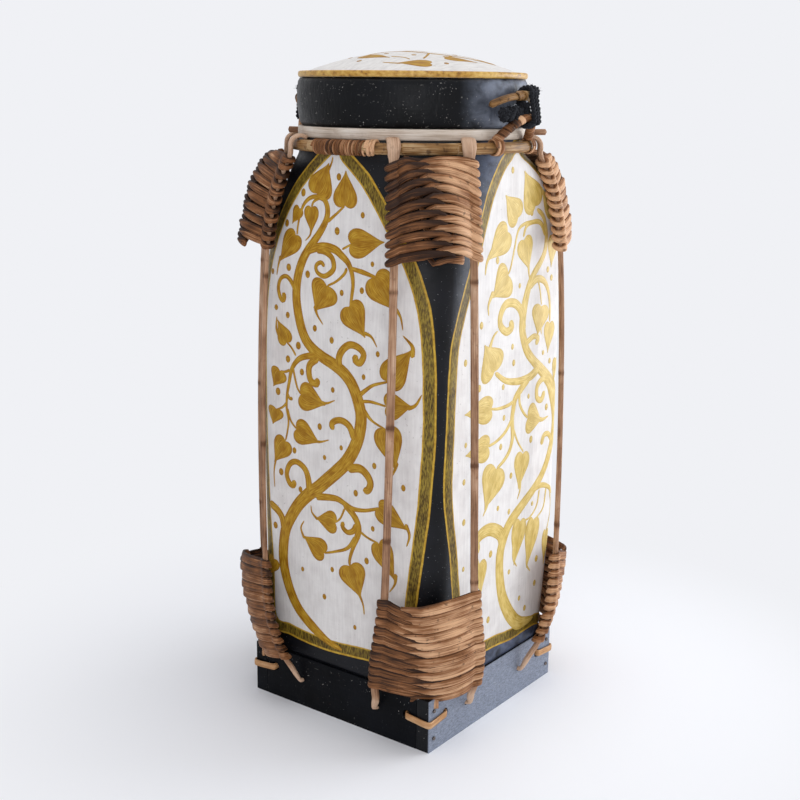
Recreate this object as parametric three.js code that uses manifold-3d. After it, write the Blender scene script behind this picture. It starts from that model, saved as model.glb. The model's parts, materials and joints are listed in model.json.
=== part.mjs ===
// Lidded rice box. A lacquered woven body, square below and round at the neck, stands on a frame of four
// boards. Eight rattan rods, lashed in pairs beside the corners, tie the base to a hoop round the neck.
// The lid slips over a collar and is held by a cord at each side.
// Millimetres, +Z up. Origin: centre of the underside. The front is -Y and the right side is +X.
import * as THREE from "three";
import { mergeVertices } from "three/addons/utils/BufferGeometryUtils.js";
import Module from "manifold-3d";

const wasm = await Module();
wasm.setup();

// Values shared by all pieces
const clearance = 0.3;
const overrun = 2;
const ringSteps = 36;
const turn = Math.PI * 2;
const quarter = Math.PI / 2;
const eighth = Math.PI / 4;
const degree = Math.PI / 180;
const bendFloor = 0.6;

// Base frame
const baseSide = 150;
const baseHeight = 36;
const boardThickness = 10;
const rodHoleInset = 42.5;
const rodHoleHeightShare = 0.528;
const stitchHoleInset = 18;
const stitchHoleHeightShare = 0.611;
const holeSides = 8;

// Nails
const nailShankRadius = 0.7;
const nailHeadRadius = 1.4;
const nailHeadHeight = 0.6;
const nailLength = 19;
const nailHeightShares = [0.25, 0.78];
const nailSides = 6;

// Corner stitches
const stitchWidth = 4.5;
const stitchThickness = 0.8;
const stitchDepth = 6;
const stitchSag = 1.6;

// Body
const bodyHeight = 348;
const bodySetback = 1.6;
const neckSetback = 0.8;
const bodyBelly = 1.6;
const bodyWall = 4;
const neckRoundShare = 0.985;
const shoulderShare = 0.47;
const neckShare = 0.97;
const bodyCornerSteps = 7;
const footShare = 0.25;
// Each corner in turn from the back right one: its radii at the foot and below the shoulder, and how late
// it rounds towards the neck
const bodyCorners = [
  { footRadius: 20, radius: 9, shoulderPower: 7 },
  { footRadius: 19, radius: 16, shoulderPower: 5 },
  { footRadius: 19, radius: 19, shoulderPower: 4 },
  { footRadius: 19, radius: 19, shoulderPower: 3.3 },
];
const bodyRingShares = [0, 0.25, 0.47, 0.62, 0.74, 0.82, 0.88, 0.93, neckShare, 1];
const cavityRingShares = [1, neckShare, 0.93, 0.87, 0.79, 0.68, 0.47, 0];

// Neck hoop and the strip wound round its lap
const hoopThickness = 6.5;
const hoopFit = 1.2;
const hoopDrop = 4.3;
const hoopSides = 8;
const lapAzimuth = -87.5 * degree;
const lapSpan = 30 * degree;
const lapTurns = 7;
const lapStepsPerTurn = 8;
const lapStripWidth = 3;
const lapStripThickness = 0.6;

// Neck band, collar and pegs
const bandHeight = 6.7;
const bandStandOut = 1.1;
const collarWall = 2;
const collarRise = 18;
const collarDrop = 18;
const pegWidth = 3.4;
const pegHeight = 2.6;
const pegStandOut = 9;
const pegAzimuths = [36.5 * degree, 216.5 * degree];

// Rods: each row has a share of the height from hole to hoop, of the bow and of the flare
const rodWidth = 5;
const rodDepth = 3.4;
const rodSpread = 22.6;
const rodBow = 22.6;
const rodFlare = 3.8;
const rodTenon = 7;
const rodTenonShare = 0.62;
const rodToeOffShare = 0.75;
const rodToeRiseShare = 0.4;
const rodSides = 6;
const rodHookShares = [1.12, 0.8, 0.5, 0.22, 0];
const rodRunShares = [
  [0.983, 0.04, 0],
  [0.961, 0.2, 0],
  [0.931, 0.39, 0],
  [0.897, 0.54, 0],
  [0.856, 0.665, 0],
  [0.809, 0.757, 0],
  [0.695, 0.873, 0],
  [0.571, 0.95, 0],
  [0.446, 1, 0],
  [0.335, 1.02, 0],
  [0.252, 1.02, 0.05],
  [0.21, 1.01, 0.2],
  [0.169, 0.985, 0.6],
  [0.127, 0.9, 1],
  [0.086, 0.73, 1],
  [0.055, 0.535, 0.85],
  [0.028, 0.3, 0.45],
];

// Lashings: one strip wound as a figure of eight round both rods of a corner. The top and the length are
// shares of the rods' height, so that each lashing keeps its place on the bends of the rods.
const stripThickness = 0.8;
const stripGap = 0.7;
const crossingGap = 1;
const lashingTurns = 10.5;
const lashingStepsPerTurn = 12;
const lashingFit = 0.8;
const lobeDepth = 6;
const lobePower = 0.75;
const upperLashing = {
  name: "upper",
  topShare: 0.9875,
  span: 0.1787,
  nose: 14,
  nosePinch: 0.75,
  crown: 12.5,
  crownPinch: 1,
};
const lowerLashing = {
  name: "lower",
  topShare: 0.252,
  span: 0.1967,
  nose: 12,
  nosePinch: 0,
  crown: -1.5,
  crownPinch: 0,
};
// How far each corner's lashings are pulled out, as a share of the nose
const noseShares = { front_right: 1, back_right: 0.8, back_left: 0.9, front_left: 1.1 };
const nosePinchReach = 12;
const crownPinchReach = 40;
const gapParts = 4;
const gapStepsApart = 4;
const gapReach = 24;

// Lid
const lidWallHeight = 29.4;
const lidFit = 1.63;
const lidFlare = 1.3;
const lidBelly = 1.6;
const lidWall = 2.4;
const lidProfileShares = [0, 0.3, 0.65, 1];
const flangeHeight = 1.2;
const rimWidth = 2.8;
const rimHeight = 2.9;
const rimChamfer = 0.93;
const domeRise = 15.6;
const domeWall = 2.4;
const domeShares = [1, 0.78, 0.5, 0.22];

// Ears and the cords that tie them
const earAzimuths = [2.5 * degree, 182.5 * degree];
const earSides = 6;
const bodyEarThickness = 5;
const bodyEarSpan = 14.5 * degree;
const bodyEarSeatShare = 0.36;
const bodyEarRise = 12.7;
const bodyEarLean = 7;
const bodyEarSteps = 12;
const lidEarThickness = 4;
const lidEarSpan = 19 * degree;
const lidEarHeightShare = 0.47;
const lidEarSeatShare = 0.42;
const lidEarRise = 6;
const lidEarReach = 5.2;
const lidEarSteps = 12;
const lidEarRisePower = 0.75;
const lidEarReachPower = 0.5;
const cordThickness = 3.2;
const cordSteps = 14;

// Widths that follow from the sizes
const baseHalf = baseSide / 2;
const bodyFootHalf = baseHalf - bodySetback;
const neckRadius = bodyFootHalf - neckSetback;
const bandRadius = neckRadius + bandStandOut;

// Levels that follow from the sizes
const rodHoleHeight = baseHeight * rodHoleHeightShare;
const stitchHoleHeight = baseHeight * stitchHoleHeightShare;
const bodyBottom = baseHeight + clearance;
const bodyTop = bodyBottom + bodyHeight;
const bandBottom = bodyTop + clearance;
const bandTop = bandBottom + bandHeight;
const lidBottom = bandTop + clearance;
const lidWallTop = lidBottom + lidWallHeight;
const hoopHeight = bodyTop - hoopDrop;
const collarTop = bandTop + collarRise;
const collarBottom = bodyTop - collarDrop;

// A swelling that is nothing at both ends and one in the middle
function belly(share) {
  return 4 * share * (1 - share);
}

// Half the body's width between two opposite faces, at a share of its height
function bodyHalf(share) {
  return THREE.MathUtils.lerp(bodyFootHalf, neckRadius, share) + bodyBelly * belly(share);
}

// Radius of an upright corner: it falls from the foot, keeps even, then grows until the neck is round
function cornerRadius(corner, share) {
  const foot = THREE.MathUtils.clamp(1 - share / footShare, 0, 1);
  const climb = THREE.MathUtils.clamp((share - shoulderShare) / (neckShare - shoulderShare), 0, 1);
  const low = THREE.MathUtils.lerp(corner.radius, corner.footRadius, foot);
  return THREE.MathUtils.lerp(low, neckRadius * neckRoundShare, climb ** corner.shoulderPower);
}

// One horizontal ring of the body's skin, set in by a wall
function bodyRing(share, inset, height) {
  const half = bodyHalf(share) - inset;
  const ring = [];
  for (let corner = 0; corner < 4; corner++) {
    const radius = cornerRadius(bodyCorners[corner], share) - inset;
    for (let step = 0; step <= bodyCornerSteps; step++) {
      const angle = quarter * (corner + step / bodyCornerSteps);
      const middle = quarter * (corner + 0.5);
      const reach = (half - radius) * Math.SQRT2;
      const x = reach * Math.cos(middle) + radius * Math.cos(angle);
      const y = reach * Math.sin(middle) + radius * Math.sin(angle);
      ring.push(new THREE.Vector3(x, y, height));
    }
  }
  return ring;
}

// Radii that pieces round the neck have to clear
const neckCorner = neckRadius * (Math.SQRT2 - (Math.SQRT2 - 1) * neckRoundShare);
const neckBore = (neckRadius - bodyWall) * Math.cos(quarter / bodyCornerSteps / 2);
const collarRadius = neckBore - clearance;
const collarBore = collarRadius - collarWall;
const hoopRadius = neckCorner + hoopFit + hoopThickness / 2;

// Closed surface through rings of equal count, each end closed by a fan from the ring's middle
function loftSolid(rings) {
  const count = rings[0].length;
  const last = rings.length - 1;
  const points = rings.flat();
  const index = [];
  for (let r = 0; r < last; r++) {
    for (let i = 0; i < count; i++) {
      const next = (i + 1) % count;
      const low = r * count;
      const high = low + count;
      index.push(low + i, low + next, high + next, low + i, high + next, high + i);
    }
  }
  for (const [ring, outward] of [[0, -1], [last, 1]]) {
    const middle = new THREE.Vector3();
    rings[ring].forEach((point) => middle.addScaledVector(point, 1 / count));
    points.push(middle);
    for (let i = 0; i < count; i++) {
      const pair = [ring * count + i, ring * count + (i + 1) % count];
      if (outward < 0) pair.reverse();
      index.push(points.length - 1, ...pair);
    }
  }
  return new THREE.BufferGeometry().setFromPoints(points).setIndex(index);
}

// Rings of a section carried along a path. One reference direction is squared to the path and gives the
// section's first axis, and a list of them gives that axis as it is, so that a strip lies along what it
// wraps. The second axis is stretched at a bend, so that a flat strip keeps its thickness there.
function sweepRings(path, references, sections, closed) {
  const count = path.length;
  return path.map((point, i) => {
    const before = closed ? path[(i + count - 1) % count] : path[Math.max(0, i - 1)];
    const after = closed ? path[(i + 1) % count] : path[Math.min(count - 1, i + 1)];
    const arriving = point.clone().sub(before).normalize();
    const leaving = after.clone().sub(point).normalize();
    const along = arriving.clone().add(leaving).normalize();
    const bend = Math.max(bendFloor, arriving.lengthSq() && leaving.lengthSq() ? along.dot(leaving) : 1);
    const slanted = Array.isArray(references);
    const reference = slanted ? references[i] : references;
    const square = slanted ? reference : reference.clone().addScaledVector(along, -reference.dot(along));
    const first = square.clone().normalize();
    const second = along.clone().cross(first).normalize();
    const section = typeof sections === "function" ? sections(i) : sections;
    return section.map(([a, b]) =>
      point.clone().addScaledVector(first, a).addScaledVector(second, b / bend));
  });
}

function sweepSolid(path, references, sections) {
  return loftSolid(sweepRings(path, references, sections, false));
}

function sweepLoop(path, references, section) {
  const rings = sweepRings(path, references, section, true);
  const count = section.length;
  const index = [];
  for (let r = 0; r < rings.length; r++) {
    for (let i = 0; i < count; i++) {
      const low = r * count;
      const high = ((r + 1) % rings.length) * count;
      const next = (i + 1) % count;
      index.push(low + i, low + next, high + next, low + i, high + next, high + i);
    }
  }
  return new THREE.BufferGeometry().setFromPoints(rings.flat()).setIndex(index);
}

function flatSection(width, thickness) {
  const a = width / 2;
  const b = thickness / 2;
  return [[-a, -b], [a, -b], [a, b], [-a, b]];
}

function roundSection(width, depth, sides) {
  return Array.from({ length: sides }, (_, i) => {
    const angle = turn * (i + 0.5) / sides;
    return [width / 2 * Math.cos(angle), depth / 2 * Math.sin(angle)];
  });
}

function signedPower(value, power) {
  return Math.sign(value) * Math.abs(value) ** power;
}

// Cutting with manifold-3d
function toManifold(geometry) {
  const bare = new THREE.BufferGeometry();
  bare.setAttribute("position", geometry.getAttribute("position"));
  if (geometry.index) bare.setIndex(geometry.index);
  const merged = mergeVertices(bare);
  return new wasm.Manifold(new wasm.Mesh({
    numProp: 3,
    vertProperties: new Float32Array(merged.attributes.position.array),
    triVerts: new Uint32Array(merged.index.array),
  }));
}

function cutSolid(geometry, cutters) {
  const cut = cutters.reduce((left, cutter) => left.subtract(toManifold(cutter)), toManifold(geometry));
  const mesh = cut.getMesh();
  const made = new THREE.BufferGeometry();
  made.setAttribute("position", new THREE.BufferAttribute(mesh.vertProperties, 3));
  return made.setIndex(new THREE.BufferAttribute(mesh.triVerts, 1));
}

// A round bar from one point to another, used as a drill
function drill(radius, from, to, sides) {
  const length = from.distanceTo(to);
  const bar = new THREE.CylinderGeometry(radius, radius, length, sides);
  const direction = to.clone().sub(from).normalize();
  bar.applyQuaternion(new THREE.Quaternion().setFromUnitVectors(new THREE.Vector3(0, 1, 0), direction));
  const middle = from.clone().add(to).multiplyScalar(0.5);
  return bar.translate(middle.x, middle.y, middle.z);
}

function finish(color, roughness) {
  return new THREE.MeshStandardMaterial({ color, roughness, metalness: 0 });
}

const finishes = {
  lacquer: finish(0x1a1c1e, 0.45),
  paint: finish(0xe6e2d8, 0.7),
  gold: finish(0xc08a1e, 0.5),
  cane: finish(0xb98a4e, 0.6),
  rod: finish(0xc39a76, 0.6),
  strip: finish(0x9a6f42, 0.6),
  stitch: finish(0xcaa878, 0.6),
  band: finish(0xd9c9a4, 0.7),
  cord: finish(0x141414, 0.9),
  nail: finish(0x3a3430, 0.6),
};

const riceBox = new THREE.Group();

function addMesh(parent, name, geometry, material) {
  const mesh = new THREE.Mesh(geometry, material);
  mesh.name = name;
  geometry.computeVertexNormals();
  parent.add(mesh);
  return mesh;
}

// Base boards: the side boards run full length and cover the ends of the front and back boards
const boardSides = [
  { name: "right", angle: 0, full: true },
  { name: "back", angle: quarter, full: false },
  { name: "left", angle: 2 * quarter, full: true },
  { name: "front", angle: 3 * quarter, full: false },
];
const tenonWidth = rodWidth * rodTenonShare;
const rodHoleRadius = tenonWidth / 2 + clearance / Math.cos(Math.PI / holeSides);
const stitchHoleRadius = stitchWidth / 2 / Math.cos(Math.PI / holeSides) + 2 * clearance;
const nailHoleRadius = nailShankRadius / Math.cos(Math.PI / nailSides) + clearance;
const nailLine = baseHalf - boardThickness / 2;

function faceDrills(half) {
  const drills = [];
  for (const side of [-1, 1]) {
    for (const [inset, height, radius] of [
      [rodHoleInset, rodHoleHeight, rodHoleRadius],
      [stitchHoleInset, stitchHoleHeight, stitchHoleRadius],
    ]) {
      const across = side * (baseHalf - inset);
      const from = new THREE.Vector3(half - boardThickness - overrun, across, height);
      drills.push(drill(radius, from, new THREE.Vector3(half + overrun, across, height), holeSides));
    }
  }
  return drills;
}

// Nail holes run along a full board's thickness, and on into the end of the board that it covers
function nailDrills(full) {
  const drills = [];
  for (const side of [-1, 1]) {
    for (const share of nailHeightShares) {
      const height = share * baseHeight;
      const reach = side * baseHalf;
      const deep = side * (baseHalf - nailLength - overrun);
      const from = full
        ? new THREE.Vector3(baseHalf + overrun, side * nailLine, height)
        : new THREE.Vector3(nailLine, reach, height);
      const to = full
        ? new THREE.Vector3(baseHalf - boardThickness - overrun, side * nailLine, height)
        : new THREE.Vector3(nailLine, deep, height);
      drills.push(drill(nailHoleRadius, from, to, nailSides));
    }
  }
  return drills;
}

for (const { name, angle, full } of boardSides) {
  const length = full ? baseSide : baseSide - 2 * boardThickness - 2 * clearance;
  const board = new THREE.BoxGeometry(boardThickness, length, baseHeight);
  board.translate(baseHalf - boardThickness / 2, 0, baseHeight / 2);
  const holder = new THREE.Group();
  holder.rotation.z = angle;
  riceBox.add(holder);
  const drills = [...faceDrills(baseHalf), ...nailDrills(full)];
  addMesh(holder, "base_board_" + name, cutSolid(board, drills), finishes.lacquer);
}

function nailSolid() {
  const profile = [
    [0, -nailLength],
    [nailShankRadius, -nailLength + nailShankRadius],
    [nailShankRadius, clearance],
    [nailHeadRadius, clearance],
    [nailHeadRadius, clearance + nailHeadHeight],
    [0, clearance + nailHeadHeight],
  ];
  const points = profile.map(([radius, height]) => new THREE.Vector2(radius, height));
  const nail = new THREE.LatheGeometry(points, nailSides);
  return nail.rotateZ(-quarter);
}

for (const { name, angle } of boardSides.filter((side) => side.full)) {
  const holder = new THREE.Group();
  holder.rotation.z = angle;
  riceBox.add(holder);
  for (const side of [-1, 1]) {
    nailHeightShares.forEach((share, i) => {
      const nail = nailSolid().translate(baseHalf, side * nailLine, share * baseHeight);
      const end = side < 0 ? "near" : "far";
      addMesh(holder, "nail_" + name + "_" + end + "_" + (i + 1), nail, finishes.nail);
    });
  }
}

// Body: outer skin up, rim, and inner skin down to the woven floor
function bodySolid() {
  const heightAt = (share) => bodyBottom + share * bodyHeight;
  const outer = bodyRingShares.map((share) => bodyRing(share, 0, heightAt(share)));
  const floor = bodyBottom + bodyWall;
  const inner = cavityRingShares.map((share) => bodyRing(share, bodyWall, Math.max(floor, heightAt(share))));
  return loftSolid([...outer, ...inner]);
}
addMesh(riceBox, "body_shell", bodySolid(), finishes.lacquer);

// A ring turned from a closed profile
function turnedRing(profile) {
  const points = [...profile, profile[0]].map(([radius, height]) => new THREE.Vector2(radius, height));
  return new THREE.LatheGeometry(points, ringSteps).rotateX(quarter);
}

// Pegs go in from outside through the neck band and the collar
function pegBox(spare) {
  const inner = collarBore - overrun;
  const length = bandRadius + pegStandOut - inner + 2 * spare;
  const peg = new THREE.BoxGeometry(length, pegWidth + 2 * spare, pegHeight + 2 * spare);
  return peg.translate(inner + length / 2 - spare, 0, bandBottom + bandHeight / 2);
}

function pegCuts() {
  return pegAzimuths.map((azimuth) => pegBox(clearance).rotateZ(azimuth));
}

const bandBore = collarRadius / Math.cos(Math.PI / ringSteps) + clearance;
const band = turnedRing([
  [bandBore, bandBottom], [bandRadius, bandBottom], [bandRadius, bandTop], [bandBore, bandTop],
]);
addMesh(riceBox, "neck_band", cutSolid(band, pegCuts()), finishes.band);

const collar = turnedRing([
  [collarBore, collarBottom],
  [collarRadius, collarBottom],
  [collarRadius, collarTop],
  [collarBore, collarTop],
]);
addMesh(riceBox, "inner_collar", cutSolid(collar, pegCuts()), finishes.band);

pegAzimuths.forEach((azimuth, i) => {
  addMesh(riceBox, "band_peg_" + (i ? "left" : "right"), pegBox(0).rotateZ(azimuth), finishes.rod);
});

const hoop = new THREE.TorusGeometry(hoopRadius, hoopThickness / 2, hoopSides, ringSteps);
addMesh(riceBox, "neck_hoop", hoop.translate(0, 0, hoopHeight), finishes.cane);

// The fine strip wound round the lap of the hoop
function lapWinding() {
  const middle = hoopThickness / 2 + clearance + lapStripThickness / 2;
  const radius = middle / Math.cos(Math.PI / lapStepsPerTurn);
  const path = [];
  const references = [];
  const steps = lapTurns * lapStepsPerTurn;
  for (let i = 0; i <= steps; i++) {
    const azimuth = lapAzimuth + lapSpan * (i / steps - 0.5);
    const round = turn * i / lapStepsPerTurn;
    const outward = hoopRadius + radius * Math.cos(round);
    const height = hoopHeight + radius * Math.sin(round);
    path.push(new THREE.Vector3(outward * Math.cos(azimuth), outward * Math.sin(azimuth), height));
    references.push(new THREE.Vector3(-Math.sin(azimuth), Math.cos(azimuth), 0));
  }
  return { path, references };
}
const lap = lapWinding();
const lapStrip = flatSection(lapStripWidth, lapStripThickness);
addMesh(riceBox, "hoop_lap_winding", sweepSolid(lap.path, lap.references, lapStrip), finishes.strip);

// Corner frame: x runs out along the diagonal, y runs sideways towards the next face
const cornerReach = baseHalf * Math.SQRT2;

// A point beside the corner's edge: how far along the face, and how far off it
function facePoint(side, along, off, height) {
  return new THREE.Vector3(
    cornerReach - along * Math.SQRT1_2 + off * Math.SQRT1_2,
    side * (along * Math.SQRT1_2 + off * Math.SQRT1_2),
    height,
  );
}

const hookRadius = hoopThickness / 2 + clearance + rodDepth / 2;
const hoopOut = Math.sqrt((hoopRadius + hookRadius) ** 2 - rodSpread ** 2);
const holeMouth = facePoint(1, rodHoleInset, 0, rodHoleHeight);

function rodKnot([heightShare, bowShare, flareShare]) {
  return new THREE.Vector3(
    THREE.MathUtils.lerp(holeMouth.x, hoopOut, heightShare) + rodBow * bowShare,
    THREE.MathUtils.lerp(holeMouth.y, rodSpread, heightShare) + rodFlare * flareShare,
    THREE.MathUtils.lerp(rodHoleHeight, hoopHeight, heightShare),
  );
}
const rodKnots = rodRunShares.map(rodKnot);

// Where a rod is at a height, between its two nearest knots
function rodAt(height) {
  const i = Math.max(1, rodKnots.findIndex((knot) => knot.z <= height));
  const above = rodKnots[i - 1];
  const below = rodKnots[i];
  return above.clone().lerp(below, (above.z - height) / (above.z - below.z));
}

// One rod, from its hooked top over the hoop down to its tenon in the base board
function rodSolid(side) {
  const hook = rodHookShares.map((share) => {
    const radius = hoopRadius + hookRadius * Math.cos(share * quarter);
    const out = Math.sqrt(radius ** 2 - rodSpread ** 2);
    return new THREE.Vector3(out, side * rodSpread, hoopHeight + hookRadius * Math.sin(share * quarter));
  });
  const run = rodKnots.map((knot) => new THREE.Vector3(knot.x, side * knot.y, knot.z));
  const end = [
    facePoint(side, rodHoleInset, rodDepth * rodToeOffShare, rodHoleHeight + rodDepth * rodToeRiseShare),
    facePoint(side, rodHoleInset, 0, rodHoleHeight),
    facePoint(side, rodHoleInset, -rodTenon, rodHoleHeight),
  ];
  const path = [...hook, ...run, ...end];
  const sections = (i) => {
    const fromEnd = path.length - 1 - i;
    const share = fromEnd > 2 ? 1 : rodTenonShare;
    return roundSection(rodWidth * share, rodDepth * share, rodSides);
  };
  return sweepSolid(path, new THREE.Vector3(0, 1, 0), sections);
}

function lashingPitch(span) {
  return span * (hoopHeight - rodHoleHeight) / (lashingTurns + 1);
}

// The lashing's plan is a figure of eight: a lobe round each rod, and a bulged crossing in the middle.
// Power curves square the lobes, so that few steps go round a rod without touching it.
function lashingPath({ topShare, span, nose, nosePinch, crown, crownPinch }, pull) {
  const top = THREE.MathUtils.lerp(rodHoleHeight, hoopHeight, topShare);
  const pitch = lashingPitch(span);
  const steps = lashingTurns * lashingStepsPerTurn;
  const path = [];
  const slants = [];
  for (let i = 0; i <= steps; i++) {
    const phase = quarter + turn * i / lashingStepsPerTurn;
    const level = top - pitch * (0.5 + i / lashingStepsPerTurn);
    const noseShare = 1 - nosePinch * Math.exp(-(top - level) / nosePinchReach);
    const crownShare = 1 - crownPinch * Math.exp(-(top - level) / crownPinchReach);
    const height = level + crown * crownShare * Math.cos(phase) ** 2;
    const rod = rodAt(height);
    const across = signedPower(Math.sin(phase), lobePower);
    const widest = rod.y + rodWidth / 2 + lashingFit + stripThickness / 2;
    const bulge = Math.max(0, 1 - (across * widest / (rod.y - rodWidth / 2)) ** 2);
    const lobe = lobeDepth * signedPower(Math.sin(2 * phase), lobePower);
    path.push(new THREE.Vector3(rod.x + lobe + pull * nose * noseShare * bulge, across * widest, height));
    slants.push(rodAt(height + pitch / 2).sub(rodAt(height - pitch / 2)).setY(0));
  }
  return { path, slants };
}

// The strip is narrow where it crosses itself and full width round the rods
function lashingSection({ span }) {
  const pitch = lashingPitch(span);
  const half = lashingStepsPerTurn / 2;
  return (i) => {
    const crossing = (i + half / 2) % half === 0;
    const width = crossing ? pitch / 2 - crossingGap : pitch - stripGap;
    return flatSection(width, stripThickness);
  };
}

// Least distance between two turns of a winding, on points along the edges of its strip
function leastGap(rings) {
  const dense = [];
  for (let i = 0; i + 1 < rings.length; i++) {
    for (let part = 0; part < gapParts; part++) {
      const share = part / gapParts;
      const corners = rings[i].map((point, k) => point.clone().lerp(rings[i + 1][k], share));
      const middles = corners.map((point, k) => point.clone().lerp(corners[(k + 1) % corners.length], 0.5));
      dense.push({ at: i + share, points: [...corners, ...middles] });
    }
  }
  let least = Infinity;
  dense.forEach((one, i) => {
    for (const other of dense.slice(i + 1)) {
      if (other.at - one.at < gapStepsApart) continue;
      if (one.points[0].distanceTo(other.points[0]) > gapReach) continue;
      for (const p of one.points) {
        for (const q of other.points) least = Math.min(least, p.distanceTo(q));
      }
    }
  });
  return least;
}

const straightUp = new THREE.Vector3(0, 0, 1);
for (const lashing of [upperLashing, lowerLashing]) {
  const { path, slants } = lashingPath(lashing, 1);
  const rings = sweepRings(path, slants, lashingSection(lashing), false);
  console.log(lashing.name + " lashing, least gap to itself: " + leastGap(rings).toFixed(2) + " mm");
}
const lapRings = sweepRings(lap.path, lap.references, lapStrip, false);
console.log("lap winding, least gap to itself: " + leastGap(lapRings).toFixed(2) + " mm");

// Stitch: a flat strap from a hole in one board round the corner to a hole in the next
function stitchSolid() {
  const off = clearance + stitchThickness / 2;
  const near = stitchWidth / 2;
  const half = (side) => [
    facePoint(side, stitchHoleInset, -stitchDepth, stitchHoleHeight),
    facePoint(side, stitchHoleInset, off, stitchHoleHeight),
    facePoint(side, near, off, stitchHoleHeight - stitchSag),
  ];
  const nose = facePoint(1, 0, off, stitchHoleHeight - stitchSag).setY(0);
  const path = [...half(-1), nose, ...half(1).reverse()];
  return sweepSolid(path, straightUp, flatSection(stitchWidth, stitchThickness));
}

const corners = [
  { name: "front_right", azimuth: -eighth, before: "front", after: "right" },
  { name: "back_right", azimuth: eighth, before: "right", after: "back" },
  { name: "back_left", azimuth: 3 * eighth, before: "back", after: "left" },
  { name: "front_left", azimuth: -3 * eighth, before: "left", after: "front" },
];
for (const { name, azimuth, before, after } of corners) {
  const holder = new THREE.Group();
  holder.rotation.z = azimuth;
  riceBox.add(holder);
  addMesh(holder, "rod_" + name + "_" + before, rodSolid(-1), finishes.rod);
  addMesh(holder, "rod_" + name + "_" + after, rodSolid(1), finishes.rod);
  addMesh(holder, "stitch_" + name, stitchSolid(), finishes.stitch);
  for (const lashing of [upperLashing, lowerLashing]) {
    const { path, slants } = lashingPath(lashing, noseShares[name]);
    const strip = sweepSolid(path, slants, lashingSection(lashing));
    addMesh(holder, "lashing_" + lashing.name + "_" + name, strip, finishes.strip);
  }
}

// Lid wall: a barrel-shaped ring that slips over the collar and rests on the neck band
const lidEdgeRadius = collarRadius + lidFit + lidWall;
const lidTopRadius = lidEdgeRadius + lidFlare;
function lidRadius(share) {
  return THREE.MathUtils.lerp(lidEdgeRadius, lidTopRadius, share) + lidBelly * belly(share);
}
const lidOuter = lidProfileShares.map((share) => [lidRadius(share), lidBottom + share * lidWallHeight]);
const lidInner = lidOuter.map(([radius, height]) => [radius - lidWall, height]).reverse();
addMesh(riceBox, "lid_wall", turnedRing([...lidOuter, ...lidInner]), finishes.lacquer);

// Lid top: a shallow dome with a flat flange that sits on the wall
const flangeBottom = lidWallTop + clearance;
const flangeTop = flangeBottom + flangeHeight;
const domeEdge = lidTopRadius - rimWidth - clearance;
function lidTopSolid() {
  const outer = domeShares.map((share) => [domeEdge * share, flangeTop + domeRise * (1 - share ** 2)]);
  const inner = domeShares.map((share) => {
    const radius = (domeEdge - domeWall) * share;
    return [radius, flangeTop - domeWall + domeRise * (1 - share ** 2)];
  }).reverse();
  inner[inner.length - 1][1] = flangeBottom;
  const profile = [
    [0, flangeTop - domeWall + domeRise],
    ...inner,
    [lidTopRadius, flangeBottom],
    [lidTopRadius, flangeTop],
    ...outer,
    [0, flangeTop + domeRise],
  ];
  const points = profile.map(([radius, height]) => new THREE.Vector2(radius, height));
  return new THREE.LatheGeometry(points, ringSteps).rotateX(quarter);
}
addMesh(riceBox, "lid_top", lidTopSolid(), finishes.paint);

const rimBore = domeEdge / Math.cos(Math.PI / ringSteps) + clearance;
const rimBottom = flangeTop + clearance;
const rim = turnedRing([
  [rimBore, rimBottom],
  [lidTopRadius, rimBottom],
  [lidTopRadius, rimBottom + rimHeight / 2],
  [lidTopRadius - rimChamfer, rimBottom + rimHeight],
  [rimBore, rimBottom + rimHeight],
]);
addMesh(riceBox, "lid_rim", rim, finishes.gold);

// Body ears: arches that stand on the hoop and lean out
const bodyEarFoot = hoopHeight + hoopThickness / 2 + clearance + bodyEarThickness * bodyEarSeatShare;
function bodyEarPath() {
  return Array.from({ length: bodyEarSteps + 1 }, (_, i) => {
    const share = 2 * i / bodyEarSteps - 1;
    const climb = Math.cos(share * quarter);
    const radius = hoopRadius + bodyEarLean * climb;
    const azimuth = share * bodyEarSpan;
    const height = bodyEarFoot + bodyEarRise * climb;
    return new THREE.Vector3(radius * Math.cos(azimuth), radius * Math.sin(azimuth), height);
  });
}

// Lid ears: smaller arches that spring from the lid's wall
const lidEarFoot = lidBottom + lidEarHeightShare * lidWallHeight;
const lidEarStart = lidRadius(lidEarHeightShare) + clearance + lidEarThickness * lidEarSeatShare;
function lidEarPath() {
  return Array.from({ length: lidEarSteps + 1 }, (_, i) => {
    const share = 2 * i / lidEarSteps - 1;
    const climb = Math.max(0, 1 - share ** 2) ** lidEarRisePower;
    const radius = lidEarStart + lidEarReach * climb ** lidEarReachPower;
    const azimuth = share * lidEarSpan;
    const height = lidEarFoot + lidEarRise * climb;
    return new THREE.Vector3(radius * Math.cos(azimuth), radius * Math.sin(azimuth), height);
  });
}

// A cord loop round the tops of both ears: two half circles joined by straight runs
function cordLoop(low, high) {
  const radius = (bodyEarThickness + cordThickness) / 2 + 2 * clearance;
  return Array.from({ length: cordSteps }, (_, i) => {
    const half = cordSteps / 2;
    const centre = i < half ? high : low;
    const angle = Math.PI * ((i % half) / (half - 1) + (i < half ? 0 : 1));
    return new THREE.Vector3(centre.x + radius * Math.cos(angle), 0, centre.z + radius * Math.sin(angle));
  });
}

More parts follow.
